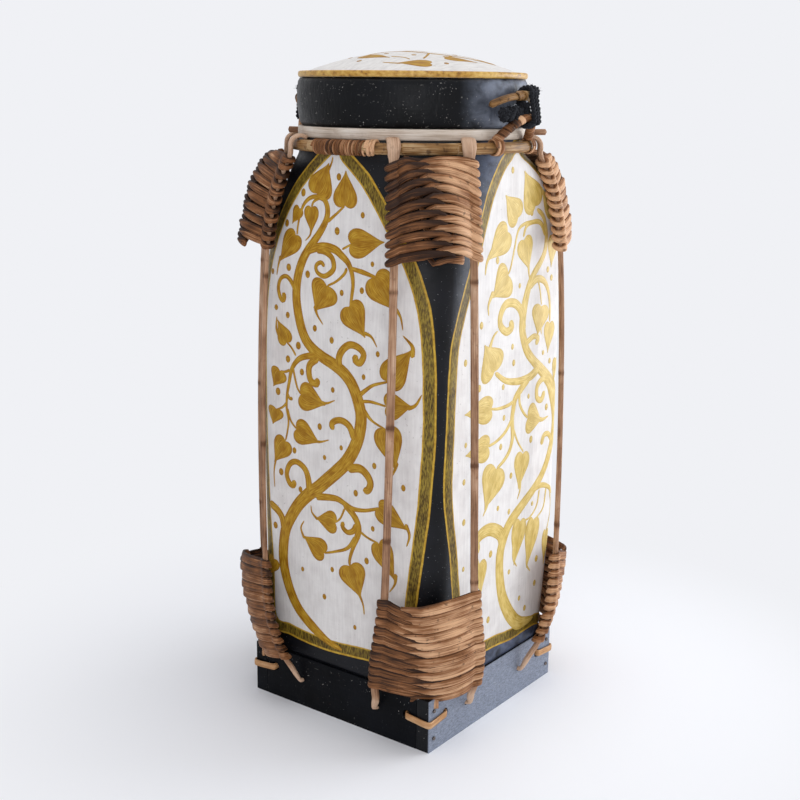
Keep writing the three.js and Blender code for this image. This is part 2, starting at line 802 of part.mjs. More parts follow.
earAzimuths.forEach((azimuth, i) => {
  const side = i ? "left" : "right";
  const holder = new THREE.Group();
  holder.rotation.z = azimuth;
  riceBox.add(holder);
  const bodyEar = bodyEarPath();
  const lidEar = lidEarPath();
  const bodySection = roundSection(bodyEarThickness, bodyEarThickness, earSides);
  const lidSection = roundSection(lidEarThickness, lidEarThickness, earSides);
  addMesh(holder, "body_ear_" + side, sweepSolid(bodyEar, straightUp, bodySection), finishes.cane);
  addMesh(holder, "lid_ear_" + side, sweepSolid(lidEar, straightUp, lidSection), finishes.cane);
  const loop = cordLoop(bodyEar[bodyEarSteps / 2], lidEar[lidEarSteps / 2]);
  const cordSection = roundSection(cordThickness, cordThickness, earSides);
  const cord = sweepLoop(loop, new THREE.Vector3(0, 1, 0), cordSection);
  addMesh(holder, "tie_cord_" + side, cord, finishes.cord);
});

export default riceBox;
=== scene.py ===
# %% [markdown]
# A tall rice box, dressed over its CAD frame. The real one is a woven vessel, lacquered black and painted
# with a gold vine on a white ground. It stands on four boards and is tied up with rattan. Each cell below
# takes one piece or one finish. The frame gives every place and size, so nothing is fitted by eye.
# %% Open the frame
import json
import math

import bmesh
import bpy
import numpy as np
from mathutils import Matrix, Vector

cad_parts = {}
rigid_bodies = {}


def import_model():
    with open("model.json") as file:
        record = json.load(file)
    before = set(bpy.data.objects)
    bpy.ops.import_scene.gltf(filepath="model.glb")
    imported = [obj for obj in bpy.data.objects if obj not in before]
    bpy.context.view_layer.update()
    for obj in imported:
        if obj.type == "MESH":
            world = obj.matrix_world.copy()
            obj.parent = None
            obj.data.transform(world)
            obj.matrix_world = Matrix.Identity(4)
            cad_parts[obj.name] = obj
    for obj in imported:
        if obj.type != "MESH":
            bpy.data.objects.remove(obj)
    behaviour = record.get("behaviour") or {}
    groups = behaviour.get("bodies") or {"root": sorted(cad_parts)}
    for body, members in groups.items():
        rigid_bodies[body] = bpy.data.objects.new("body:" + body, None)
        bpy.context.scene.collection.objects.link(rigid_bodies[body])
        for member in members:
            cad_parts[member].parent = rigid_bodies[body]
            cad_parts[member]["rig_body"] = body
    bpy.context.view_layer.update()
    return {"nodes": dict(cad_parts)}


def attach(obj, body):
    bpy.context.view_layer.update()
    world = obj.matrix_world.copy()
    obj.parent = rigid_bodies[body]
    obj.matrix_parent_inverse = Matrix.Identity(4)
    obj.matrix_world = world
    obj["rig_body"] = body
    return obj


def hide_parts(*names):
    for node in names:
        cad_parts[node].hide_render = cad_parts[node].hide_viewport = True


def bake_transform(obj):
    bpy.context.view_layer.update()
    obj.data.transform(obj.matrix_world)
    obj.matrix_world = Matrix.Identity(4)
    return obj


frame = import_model()

# %% [markdown]
# The camera comes first, because every later choice is judged through it. Its place, tilt and lens were
# solved from the box's own corners and hoops in the photograph, so that they land on the same pixels.
# %% Camera
CAMERA_PLACE = (0.501, -0.677, 0.414)
CAMERA_LENS = 57.07
CAMERA_HEADING = math.radians(36.502)
CAMERA_YAW = math.radians(-0.40)
CAMERA_PITCH = math.radians(13.74)
CAMERA_ROLL = math.radians(0.63)


def camera_axes():
    """Right, up and backward of the camera: yaw and pitch give a level frame, roll turns it about the view,
    and the heading turns all of it about the upright."""
    cy, sy = math.cos(CAMERA_YAW), math.sin(CAMERA_YAW)
    cp, sp = math.cos(CAMERA_PITCH), math.sin(CAMERA_PITCH)
    cr, sr = math.cos(CAMERA_ROLL), math.sin(CAMERA_ROLL)
    level = np.array([cy, -sy, 0.0])
    forward = np.array([sy * cp, cy * cp, -sp])
    upright = np.array([sy * sp, cy * sp, cp])
    axes = np.stack([cr * level + sr * upright, cr * upright - sr * level, -forward], 1)
    ch, sh = math.cos(CAMERA_HEADING), math.sin(CAMERA_HEADING)
    return np.array([[ch, -sh, 0], [sh, ch, 0], [0, 0, 1]]) @ axes


camera = bpy.data.objects.new("camera", bpy.data.cameras.new("camera"))
bpy.context.scene.collection.objects.link(camera)
camera.data.lens = CAMERA_LENS
camera.data.clip_start = 0.05
camera.matrix_world = Matrix.Translation(CAMERA_PLACE) @ Matrix(camera_axes().tolist()).to_4x4()
bpy.context.scene.camera = camera
print("camera looks along", tuple(round(-x, 3) for x in camera_axes()[:, 2]))

# %% [markdown]
# A finish is a material made of nodes. Small helpers keep each one readable: one starts a material with
# plain values on its shader, one adds a node and plugs its inputs in, and the rest name what is used often.
# %% Helpers for finishes
MM = 0.001


def shade(red, green, blue):
    """A screen colour, 0 to 255, as the linear colour that a shader takes."""
    screen = np.array([red, green, blue]) / 255
    linear = np.where(screen <= 0.04045, screen / 12.92, ((screen + 0.055) / 1.055) ** 2.4)
    return (*linear.tolist(), 1.0)


def start_finish(name, **values):
    material = bpy.data.materials.new(name)
    material.use_nodes = True
    shader = material.node_tree.nodes["Principled BSDF"]
    for socket, value in values.items():
        shader.inputs[socket.replace("_", " ")].default_value = value
    return material, shader


def add(material, kind, plugs, out=0, **settings):
    """A new node. plugs maps an input's name or number to a value or to another node's output."""
    node = material.node_tree.nodes.new("ShaderNode" + kind)
    for key, value in settings.items():
        setattr(node, key, value)
    for socket, value in plugs.items():
        if isinstance(value, bpy.types.NodeSocket):
            material.node_tree.links.new(value, node.inputs[socket])
        else:
            node.inputs[socket].default_value = value
    return node.outputs[out]


def calc(material, operation, first, second=0.0):
    return add(material, "Math", {0: first, 1: second}, operation=operation)


def times(material, first, second):
    return calc(material, "MULTIPLY", first, second)


def mix_of(material, first, second, weight):
    """A weighted sum of two patterns, whose weights add up to 1."""
    return calc(material, "ADD", times(material, first, weight), times(material, second, 1 - weight))


def ramp(material, share, stops):
    """A colour ramp: stops are pairs of a place from 0 to 1 and a colour or a grey."""
    node = material.node_tree.nodes.new("ShaderNodeValToRGB")
    material.node_tree.links.new(share, node.inputs[0])
    elements = node.color_ramp.elements
    while len(elements) < len(stops):
        elements.new(0.5)
    for element, (place, colour) in zip(elements, stops):
        element.position = place
        element.color = colour if isinstance(colour, tuple) else (colour, colour, colour, 1)
    return node.outputs[0]


def blend_colours(material, share, low, high):
    return add(material, "Mix", {0: share, 6: low, 7: high}, 2, data_type="RGBA")


def step_at(material, value, edge, softness):
    """0 below an edge and 1 above it, with a narrow soft step."""
    plugs = {0: value, 1: edge - softness, 2: edge + softness}
    return add(material, "MapRange", plugs)


def place_in_mm(material):
    """The point on the piece, in millimetres, from Object coordinates."""
    place = add(material, "TexCoord", {}, 3)
    return add(material, "VectorMath", {0: place, 3: 1 / MM}, operation="SCALE")


def grain_of(material):
    """Each point's grain: how far along its strand, then where across it."""
    return add(material, "Attribute", {}, 1, attribute_name="grain")


def number_of(material, name):
    """One number that the mesh carries at each point."""
    return add(material, "Attribute", {}, 2, attribute_name=name)


def noise(material, vector, scale, detail=3.0, stretch=(1, 1, 1), **more):
    """Noise whose grains are 1/scale millimetres, drawn out by the stretch."""
    vector = add(material, "VectorMath", {0: vector, 1: stretch}, operation="MULTIPLY")
    plugs = {"Vector": vector, "Scale": scale, "Detail": detail, **more}
    return add(material, "TexNoise", plugs)


def bump(material, height, distance, strength=1.0, under=None):
    plugs = {"Height": height, "Distance": distance * MM, "Strength": strength}
    if under is not None:
        plugs["Normal"] = under
    return add(material, "Bump", plugs)


def plug(material, shader, **outputs):
    for socket, output in outputs.items():
        material.node_tree.links.new(output, shader.inputs[socket.replace("_", " ")])


print("finish helpers ready")

# %% [markdown]
# The box stands on a plain pale floor. Far from the box the floor fades into the backdrop's own colour, so
# that no line shows where it ends. The backdrop shows only to the camera; the lamps do the lighting.
# %% Floor and backdrop
BACKDROP = shade(240, 241, 245)
FLOOR_COLOUR = shade(250, 251, 254)
FLOOR_REACH = 6.0
FADE_START = 0.095
FADE_END = 0.38
AMBIENT = 0.44


def seen_directly(tree):
    """1 for rays from the camera, and for rays mirrored by gloss or let through by glass."""
    plain = add(tree, "LightPath", {})
    mirrored = add(tree, "LightPath", {}, "Is Glossy Ray")
    through = add(tree, "LightPath", {}, "Is Transmission Ray")
    return calc(tree, "MAXIMUM", plain, calc(tree, "MAXIMUM", mirrored, through))


def floor_finish():
    material, shader = start_finish("pale_floor", Roughness=0.9)
    shader.inputs["Base Color"].default_value = FLOOR_COLOUR
    radius = add(material, "VectorMath", {0: add(material, "TexCoord", {}, 3)}, 1, operation="LENGTH")
    far = add(material, "MapRange", {0: radius, 1: FADE_START, 2: FADE_END}, interpolation_type="SMOOTHSTEP")
    glow = add(material, "Emission", {0: BACKDROP, 1: 1.0})
    seen = times(material, far, seen_directly(material))
    mixed = add(material, "MixShader", {0: seen, 1: shader.outputs[0], 2: glow})
    material.node_tree.links.new(mixed, material.node_tree.nodes["Material Output"].inputs[0])
    return material


def backdrop():
    world = bpy.data.worlds.new("backdrop")
    bpy.context.scene.world = world
    world.use_nodes = True
    sky = add(world, "Background", {0: BACKDROP, 1: 1.0})
    lamp = add(world, "Background", {0: shade(246, 248, 255), 1: AMBIENT})
    mixed = add(world, "MixShader", {0: seen_directly(world), 1: lamp, 2: sky})
    world.node_tree.links.new(mixed, world.node_tree.nodes["World Output"].inputs[0])


floor_mesh = bpy.data.meshes.new("floor")
reach = FLOOR_REACH
floor_corners = [(-reach, -reach, 0), (reach, -reach, 0), (reach, reach, 0), (-reach, reach, 0)]
floor_mesh.from_pydata(floor_corners, [], [(0, 1, 2, 3)])
floor = bpy.data.objects.new("floor", floor_mesh)
bpy.context.scene.collection.objects.link(floor)
floor_mesh.materials.append(floor_finish())
backdrop()
bpy.context.scene.view_settings.view_transform = "Standard"
print("floor", 2 * reach, "m wide")

# %% [markdown]
# In the photograph the right face glows and its black turns blue-grey, while the front stays plain and the
# left side of every strip is dark. A tall window behind the right does that: its light grazes the right face
# and mirrors off it towards the camera. A weaker lamp by the camera and one overhead do the rest. Part of
# that blue-grey and of that dark is also painted into the finishes, as painted sheen on the lacquer and
# painted shade on the strips.
# %% Lamps
# name, place, aim, width, height, watts, colour
LAMPS = [
    ("window", (0.58, 0.80, 0.33), (0.075, 0, 0.17), 0.8, 0.66, 8.0, (0.93, 0.96, 1.0)),
    ("beside_camera", (0.9, -1.2, 0.42), (0, 0, 0.1), 0.8, 0.6, 5.3, (0.97, 0.97, 1.0)),
    ("overhead", (0.1, -0.1, 1.5), (0, 0, 0.3), 1.5, 1.5, 9.2, (1.0, 1.0, 1.0)),
]
for name, place, aim, width, height, watts, colour in LAMPS:
    lamp = bpy.data.lights.new(name, "AREA")
    lamp.shape = "RECTANGLE"
    lamp.size = width
    lamp.size_y = height
    lamp.energy = watts
    lamp.color = colour
    lamp_object = bpy.data.objects.new(name, lamp)
    lamp_object.location = place
    lamp_object.rotation_euler = (Vector(aim) - Vector(place)).to_track_quat("-Z", "Y").to_euler()
    lamp_object.visible_camera = False
    bpy.context.scene.collection.objects.link(lamp_object)
print(len(LAMPS), "lamps")

# %% [markdown]
# Nearly every piece here is a grid of points: rows along something, columns round or across it. So one
# function numbers the faces of a grid, one carries a section along a path, and one puts the result into a
# mesh. Sizes are worked out in millimetres and turned into metres only when the mesh is made.
# %% Helpers for shapes
def grid_faces(rows, columns, rows_close=False, columns_close=True):
    """The four corner numbers of each face between neighbouring rows and columns."""
    i = np.arange(rows if rows_close else rows - 1)[:, None]
    j = np.arange(columns if columns_close else columns - 1)[None, :]
    right = (j + 1) % columns
    up = (i + 1) % rows
    corners = [i * columns + j, i * columns + right, up * columns + right, up * columns + j]
    return np.stack(np.broadcast_arrays(*corners), -1).reshape(-1, 4)


def unit(vectors):
    return vectors / np.maximum(np.linalg.norm(vectors, axis=-1, keepdims=True), 1e-12)


def smooth_path(knots, count, closed=False):
    """A Catmull-Rom curve through the knots, then taken again at even steps along its length."""
    knots = np.asarray(knots, float)
    if closed:
        padded = np.concatenate([knots[-1:], knots, knots[:2]])
    else:
        padded = np.concatenate([2 * knots[:1] - knots[1:2], knots, 2 * knots[-1:] - knots[-2:-1]])
    spans = len(padded) - 3
    t = np.linspace(0, spans, spans * 24 + 1)
    i = np.minimum(t.astype(int), spans - 1)
    f = (t - i)[:, None]
    a, b, c, d = (padded[i + k] for k in range(4))
    fine = 0.5 * (2 * b + (c - a) * f + (2 * a - 5 * b + 4 * c - d) * f**2 + (3 * b - a - 3 * c + d) * f**3)
    length = lengths(fine)
    even = np.linspace(0, length[-1], count + 1 if closed else count)
    path = np.stack([np.interp(even, length, fine[:, k]) for k in range(fine.shape[1])], 1)
    return path[:-1] if closed else path


def headings(path, closed=False):
    """The direction of a path at each of its points."""
    if closed:
        return unit(np.roll(path, -1, 0) - np.roll(path, 1, 0))
    return unit(np.gradient(path, axis=0))


def lengths(path):
    """How far along a path each of its points is."""
    return np.concatenate([[0], np.cumsum(np.linalg.norm(np.diff(path, axis=0), axis=1))])


def oval(width, depth, sides, squareness=1.0):
    """Points round an oval. Below 1 the squareness pushes the sides out towards a rounded oblong."""
    angle = np.linspace(0, 2 * np.pi, sides, endpoint=False)
    c, s = np.cos(angle), np.sin(angle)
    shape = [np.sign(c) * abs(c) ** squareness * width / 2, np.sign(s) * abs(s) ** squareness * depth / 2]
    return np.stack(shape, 1)


def strip_section(width, thickness, crown):
    """A flat strip with a crowned outer side: the lower side is straight, the upper side a low arch."""
    across = np.linspace(-1, 1, 7)
    upper = np.stack([across * width / 2, thickness / 2 + crown * (1 - across**2)], 1)
    lower = np.stack([across[::-1] * width / 2 * 0.96, np.full(7, -thickness / 2)], 1)
    return np.concatenate([lower, upper])


def carry(path, first, section, scale=1.0, closed=False, tint=0.5, shift=0.0, twist=0.0):
    """A section carried along a path. first is squared to the path and gives the section's first axis, and
    the cross product gives the second. A twist, in radians, turns the section about the path. Each point
    also gets its grain: how far along, and where across the untwisted section, so fibres twist with it."""
    along = headings(path, closed)
    first = np.broadcast_to(first, path.shape)
    first = unit(first - along * np.sum(first * along, 1, keepdims=True))
    second = np.cross(along, first)
    section = np.broadcast_to(section, (len(path),) + np.shape(section)[-2:])
    sized = section * np.reshape(np.broadcast_to(scale, len(path)), (-1, 1, 1))
    c = np.reshape(np.broadcast_to(np.cos(twist), len(path)), (-1, 1))
    s = np.reshape(np.broadcast_to(np.sin(twist), len(path)), (-1, 1))
    first, second = first * c + second * s, second * c - first * s
    points = path[:, None] + sized[..., :1] * first[:, None] + sized[..., 1:] * second[:, None]
    far = np.broadcast_to(lengths(path)[:, None, None] + shift, sized.shape[:2] + (1,))
    grain = np.concatenate([far, sized], 2)
    rows, columns = sized.shape[:2]
    faces = grid_faces(rows, columns, rows_close=closed).tolist()
    if not closed:
        faces += [list(range(columns))[::-1], list(range((rows - 1) * columns, rows * columns))]
    tint = tint if np.ndim(tint) == 2 else np.reshape(tint, (-1, 1))
    tints = np.broadcast_to(tint, (rows, columns)).reshape(-1)
    return {
        "points": points.reshape(-1, 3),
        "faces": faces,
        "grain": grain.reshape(-1, 3),
        "tint": tints,
    }


def rounded_ends(path, reach):
    """A scale along a strand that closes both ends in a half round of the given reach."""
    length = lengths(path)[-1]
    far = np.linspace(0, length, len(path))
    near_end = np.minimum(far, length - far)
    return np.sqrt(np.clip(1 - (1 - np.clip(near_end / reach, 0, 1)) ** 2, 0.02, 1))


def uneven(random, at, places, size):
    """Random steps of about a size at some places along a strand, joined by straight runs."""
    return np.interp(at, places, random.normal(0, size, len(places)))


def outward_at(azimuth):
    """Away from the upright, at an azimuth in degrees."""
    return np.array([math.cos(math.radians(azimuth)), math.sin(math.radians(azimuth)), 0])


def turned(strand, azimuth):
    """The same strand turned about the upright, by an azimuth in degrees."""
    c, s = math.cos(math.radians(azimuth)), math.sin(math.radians(azimuth))
    turn = np.array([[c, s, 0], [-s, c, 0], [0, 0, 1]])
    return {**strand, "points": strand["points"] @ turn}


def make_piece(name, strands, finish, body, stands_for=(), outward=True):
    """One mesh from a list of strands, riding on a body of the frame and standing for its CAD nodes."""
    points = np.concatenate([s["points"] for s in strands])
    faces, start = [], 0
    for s in strands:
        faces += [[corner + start for corner in face] for face in s["faces"]]
        start += len(s["points"])
    mesh = bpy.data.meshes.new(name)
    mesh.from_pydata((points * MM).tolist(), [], faces)
    for key, kind in (("grain", "FLOAT_VECTOR"), ("tint", "FLOAT"), ("panel", "FLOAT")):
        if all(key in s for s in strands):
            values = np.concatenate([np.ravel(s[key]) for s in strands]).astype(np.float32)
            layer = mesh.attributes.new(key, kind, "POINT")
            layer.data.foreach_set("vector" if kind == "FLOAT_VECTOR" else "value", values)
    if outward:
        cleaned = bmesh.new()
        cleaned.from_mesh(mesh)
        bmesh.ops.recalc_face_normals(cleaned, faces=cleaned.faces)
        cleaned.to_mesh(mesh)
        cleaned.free()
    mesh.polygons.foreach_set("use_smooth", np.ones(len(mesh.polygons), bool))
    mesh.materials.append(finish)
    piece = bpy.data.objects.new(name, mesh)
    bpy.context.scene.collection.objects.link(piece)
    if body:
        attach(piece, body)
    if stands_for:
        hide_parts(*stands_for)
    print(f"{name}: {len(points)} points, {len(faces)} faces")
    return piece


# %% [markdown]
# Black lacquer is thin and hand laid. It shows the brush, holds dust, and is scratched pale where it has been
# handled. Its own colour hardly changes, so the life is in the roughness and in a shallow relief. On the side
# towards +X a blue-grey painted sheen is laid into the colour, for the window that mirrors there.
# %% Finish: black lacquer
BOARD_FACE = 74.4


def painted_sheen(material, place, flat):
    """How much painted sheen the black gets: a blue-grey paling in brush strokes on the side of the object
    that faces +X, which stands for the window mirrored there. A flat board gets it in a fine grain, and only
    on its outer face."""
    x = add(material, "SeparateXYZ", {0: place}, 0)
    y = add(material, "SeparateXYZ", {0: place}, 1)
    if flat:
        grain = noise(material, place, 1.7, 6, (1, 0.28, 1.2))
        grain = ramp(material, grain, [(0.3, 0.45), (0.7, 0.95)])
        return times(material, step_at(material, x, BOARD_FACE, 0.3), grain)
    toward = calc(material, "ADD", x, times(material, y, 0.55))
    strokes = noise(material, place, 0.09, 6, (1.0, 1.0, 1.5), Distortion=0.5)
    strokes = step_at(material, strokes, 0.48, 0.24)
    return times(material, step_at(material, toward, 56, 14), strokes)


def black_lacquer(name, specks, scratches, gloss, sheen, strokes, painted_sheen_share, flat):
    """From the bottom up: a cloudy black, its painted sheen of blue-grey towards +X, fine scratches, then
    dust. The higher specks and scratches are, the fewer there are. gloss is the least roughness and strokes
    the brush relief."""
    material, shader = start_finish(name, Specular_IOR_Level=sheen)
    place = place_in_mm(material)
    cloudy = noise(material, place, 0.035, 4)
    base = ramp(material, cloudy, [(0.35, shade(3, 4, 6)), (0.7, shade(12, 14, 19))])
    dust = noise(material, place, 0.9, 2)
    dust_field = noise(material, place, 0.06, 2)
    dust = step_at(material, dust, specks, 0.012)
    dust = times(material, dust, step_at(material, dust_field, 0.52, 0.08))
    swirl = noise(material, place, 0.02, 3, (1, 1, 1), Distortion=2.5)
    lines = noise(material, place, 0.5, 3, (0.08, 1.6, 1.0))
    scratch = step_at(material, lines, scratches, 0.015)
    scratch = times(material, scratch, step_at(material, swirl, 0.55, 0.03))
    # painted sheen: a blue-grey laid into the black on the side towards +X, for the window's reflection
    pale = times(material, painted_sheen(material, place, flat), painted_sheen_share)
    base = blend_colours(material, pale, base, shade(150, 158, 175))
    worn = blend_colours(material, times(material, scratch, 0.35), base, shade(128, 126, 122))
    coat = blend_colours(material, times(material, dust, 0.7), worn, shade(196, 192, 186))
    brush = noise(material, place, 0.28, 5, (1.0, 1.0, 0.35), Distortion=1.2)
    weave = noise(material, place, 0.22, 2, (0.5, 0.5, 2.4))
    rough = ramp(material, noise(material, place, 0.12, 5), [(0.3, gloss), (0.75, gloss + 0.16)])
    relief = bump(material, weave, 0.5, 0.35)
    relief = bump(material, brush, 0.35, strokes, relief)
    plug(material, shader, Base_Color=coat, Roughness=rough, Normal=relief)
    return material


LACQUER = black_lacquer(
    "black_lacquer", specks=0.73, scratches=0.7, gloss=0.4, sheen=0.08, strokes=0.55, painted_sheen_share=0.0, flat=True)
# slightly more worn, and painted blue-grey on its outer face: painted sheen of the window and floor
WORN_LACQUER_PAINTED_SHEEN = black_lacquer(
    "worn_lacquer_painted_sheen", specks=0.72, scratches=0.66, gloss=0.42, sheen=0.2, strokes=0.9, painted_sheen_share=0.95, flat=True)
# the lid's side is painted blue-grey in strokes towards +X: painted sheen of the window
LID_LACQUER = black_lacquer(
    "lid_lacquer", specks=0.705, scratches=0.66, gloss=0.36, sheen=0.15, strokes=1.0, painted_sheen_share=0.85, flat=False)
print("lacquers made")

# %% [markdown]
# Each face carries a white panel with a pointed top, bordered by a band where gold was brushed thinly over
# the black. The mesh carries one number per point: how far inside the white it lies, in millimetres. The
# finish turns that number into sharp edges, which stay sharp however near the camera comes.
# %% Finish: painted body
BAND_WIDTH = 8.6
EDGE_LINE = 1.0


def painted_body():
    """Three looks of one skin, black, gold band and white, are told apart by the panel number."""
    material, shader = start_finish("painted_body", Specular_IOR_Level=0.2)
    place = place_in_mm(material)
    inside = number_of(material, "panel")
    wobble = calc(material, "SUBTRACT", noise(material, place, 0.08, 2), 0.5)
    inside = calc(material, "ADD", inside, times(material, wobble, 0.9))
    white = step_at(material, inside, 0.0, 0.12)
    band = step_at(material, inside, -BAND_WIDTH, 0.12)

    cloudy = noise(material, place, 0.035, 4)
    black = ramp(material, cloudy, [(0.35, shade(8, 9, 12)), (0.7, shade(20, 21, 27))])
    # painted sheen: the black pales to blue-grey in strokes on the side towards +X, for the window's
    # reflection
    black = blend_colours(material, painted_sheen(material, place, False), black, shade(96, 106, 130))
    dust = step_at(material, noise(material, place, 0.9, 2), 0.72, 0.012)
    black = blend_colours(material, times(material, dust, 0.5), black, shade(150, 150, 152))

    streaks = noise(material, place, 1.1, 5, (1.4, 1.4, 0.3))
    thinning = times(material, noise(material, place, 0.05, 2), 0.35)
    streaks = calc(material, "ADD", streaks, thinning)
    film = ramp(material, streaks, [
        (0.50, shade(58, 44, 14)), (0.66, shade(104, 82, 28)), (0.80, shade(146, 124, 45)),
    ])
    near_white = step_at(material, calc(material, "ADD", inside, EDGE_LINE), 0.0, 0.2)
    near_black = calc(material, "ADD", inside, BAND_WIDTH - 1.3 * EDGE_LINE)
    near_black = step_at(material, near_black, 0.0, 0.25)
    lines = calc(material, "MAXIMUM", near_white, calc(material, "SUBTRACT", 1.0, near_black))
    gold = noise(material, place, 0.4, 3)
    gold = ramp(material, gold, [(0.3, shade(176, 132, 34)), (0.7, shade(214, 176, 66))])
    bordered = blend_colours(material, times(material, lines, 0.9), film, gold)

    brushed = noise(material, place, 0.55, 5, (1.2, 1.2, 0.12))
    mottled = noise(material, place, 0.09, 4)
    chalk = ramp(material, brushed, [(0.25, shade(214, 209, 205)), (0.65, shade(232, 228, 224))])
    cloud = ramp(material, mottled, [(0.35, shade(206, 200, 197)), (0.6, shade(236, 233, 230))])
    chalk = blend_colours(material, 0.35, chalk, cloud)
    stains = step_at(material, noise(material, place, 0.5, 3), 0.69, 0.02)
    stains = times(material, stains, step_at(material, noise(material, place, 0.025, 2), 0.53, 0.05))
    chalk = blend_colours(material, times(material, stains, 0.45), chalk, shade(150, 140, 132))

    colour = blend_colours(material, band, black, bordered)
    colour = blend_colours(material, white, colour, chalk)
    rough = ramp(material, noise(material, place, 0.12, 5), [(0.3, 0.4), (0.75, 0.56)])
    rough = calc(material, "ADD", rough, times(material, white, 0.1))
    relief = bump(material, noise(material, place, 0.22, 2, (0.5, 0.5, 2.4)), 0.5, 0.3)
    relief = bump(material, brushed, 0.12, 0.5, relief)
    relief = bump(material, white, 0.15, 0.6, relief)
    plug(material, shader, Base_Color=colour, Roughness=rough, Normal=relief)
    return material


PAINTED_BODY = painted_body()
print("body paint made")

# %% [markdown]
# The vine is gold-ochre paint laid on thickly with a soft brush: each stroke has darker rims and paler
# streaks that follow it. The strokes carry where they are across and along, so the streaks can follow.
# %% Finish: gold paint
def gold_paint(name, low, middle, high, shine):
    material, shader = start_finish(name, Specular_IOR_Level=shine)
    grain = grain_of(material)
    place = place_in_mm(material)
    streaks = noise(material, grain, 0.9, 4, (0.14, 1.6, 0.0))
    blots = noise(material, place, 0.16, 3)
    mixed = mix_of(material, streaks, blots, 0.7)
    tone = ramp(material, mixed, [(0.34, low), (0.5, middle), (0.66, high)])
    rim = number_of(material, "tint")
    tone = blend_colours(material, times(material, rim, 0.75), tone, low)
    rough = ramp(material, streaks, [(0.3, 0.42), (0.7, 0.6)])
    relief = bump(material, streaks, 0.18, 0.5)
    plug(material, shader, Base_Color=tone, Roughness=rough, Normal=relief)
    return material


GOLD = gold_paint("gold_paint", shade(134, 84, 8), shade(177, 131, 30), shade(202, 167, 64), 0.2)
# the right face's gold is a paler copy: a painted reflection of the window that mirrors in that face
GOLD_PAINTED_SHEEN = gold_paint("gold_painted_sheen", shade(176, 142, 40), shade(214, 184, 96), shade(230, 208, 138), 0.5)
print("gold paint made")

# %% [markdown]
# Rattan is split cane: long fibres, a glossy skin, and a colour from straw to dark brown. All the rattan
# pieces share one recipe. The fibres run along each strand because the mesh carries the strand's own
# coordinates, so a strip keeps its grain round every bend.
# %% Finish: rattan
def rattan(name, dark, middle, pale, gloss=0.42, spots=0.2):
    material, shader = start_finish(name, Specular_IOR_Level=0.2)
    grain = grain_of(material)
    tint = number_of(material, "tint")
    fibres = noise(material, grain, 1.0, 6, (0.05, 1.7, 1.7))
    threads = noise(material, grain, 1.0, 3, (0.03, 5.5, 5.5))
    patches = noise(material, grain, 0.12, 3, (0.5, 1, 1))
    mixed = mix_of(material, fibres, patches, 0.55)
    own = times(material, calc(material, "SUBTRACT", tint, 0.5), 0.42)
    mixed = calc(material, "ADD", mixed, own)
    tone = ramp(material, mixed, [(0.3, dark), (0.5, middle), (0.68, pale)])
    lines = step_at(material, threads, 0.62, 0.06)
    tone = blend_colours(material, times(material, lines, 0.5), tone, dark)
    blots = step_at(material, noise(material, grain, 0.25, 4), 0.66, 0.05)
    tone = blend_colours(material, times(material, blots, spots * 2), tone, dark)
    rough = ramp(material, fibres, [(0.3, gloss), (0.75, gloss + 0.22)])
    relief = bump(material, fibres, 0.35, 0.6)
    relief = bump(material, threads, 0.12, 0.5, relief)
    plug(material, shader, Base_Color=tone, Roughness=rough, Normal=relief)
    return material


BROWN_RATTAN = rattan("brown_rattan", shade(44, 24, 12), shade(138, 90, 54), shade(216, 170, 130), 0.5, 0.3)
ROD_RATTAN = rattan("rod_rattan", shade(100, 66, 44), shade(168, 128, 98), shade(208, 174, 146), 0.46)
GOLDEN_CANE = rattan("golden_cane", shade(58, 34, 16), shade(152, 112, 66), shade(214, 184, 140), 0.36, 0.35)
PALE_RATTAN = rattan("pale_rattan", shade(120, 78, 42), shade(190, 142, 96), shade(224, 188, 146), 0.4)
BAND_COLOURS = shade(172, 152, 132), shade(214, 200, 184), shade(232, 222, 210)
BAND_BAMBOO = rattan("bare_bamboo", *BAND_COLOURS, 0.55, 0.12)
print("rattan finishes made")

# %% [markdown]
# The vessel is square at the foot and round at the neck. In plan it is a square with rounded corners, whose
# corner radius grows above the shoulder until no flat is left. It is woven by hand, so one corner is sharper
# than the rest. One function gives any point of that skin, from the side, the distance along it, and the
# height; the painting later uses the same function.
# %% The skin of the body
FOOT, TALL = 36.3, 348.0
FOOT_HALF, NECK_HALF, BELLY = 73.4, 72.6, 1.6
WALL = 4.0
SIDES = ["front", "right", "back", "left"]
# the corner after each side in turn: its radii at the foot and the waist, and how late it rounds
FOOT_RADII = np.array([19, 19, 19, 19])
WAIST_RADII = np.array([19, 7.5, 16, 19])
LATENESS = np.array([3.3, 8.5, 5, 4])


def skin_plan(height, corner):
    """Half width and corner radius at a height: a straight line with a slight belly, and a late rise."""
    share = np.clip((height - FOOT) / TALL, 0, 1)
    half = FOOT_HALF + (NECK_HALF - FOOT_HALF) * share + BELLY * 4 * share * (1 - share)
    foot = np.clip(1 - share / 0.25, 0, 1)
    low = WAIST_RADII[corner] + (FOOT_RADII[corner] - WAIST_RADII[corner]) * foot
    climb = np.clip((share - 0.47) / 0.5, 0, 1)
    return half, low + (NECK_HALF * 0.985 - low) * climb ** LATENESS[corner]


def skin_point(side, along, height, lift=0.0):
    """A point on the skin. Up to the flat's end it is straight, and past it the rest of the arc turns round
    the corner. lift moves it outwards. Side 0 is the front, and each next side is a quarter turn on."""
    half, radius = skin_plan(height, np.where(along < 0, side - 1, side) % 4)
    flat = half - radius
    bend = np.sign(along) * np.maximum(np.abs(along) - flat, 0) / radius
    x = np.clip(along, -flat, flat) + (radius + lift) * np.sin(bend)
    y = radius - half - (radius + lift) * np.cos(bend)
    angle = np.asarray(side) * np.pi / 2
    c, s = np.cos(angle), np.sin(angle)
    return np.stack(np.broadcast_arrays(x * c - y * s, x * s + y * c, height), -1)


for corner, name in enumerate(["front_right", "back_right", "back_left", "front_left"]):
    print(name, "corner radius at the waist:", round(float(skin_plan(200.0, corner)[1]), 2))

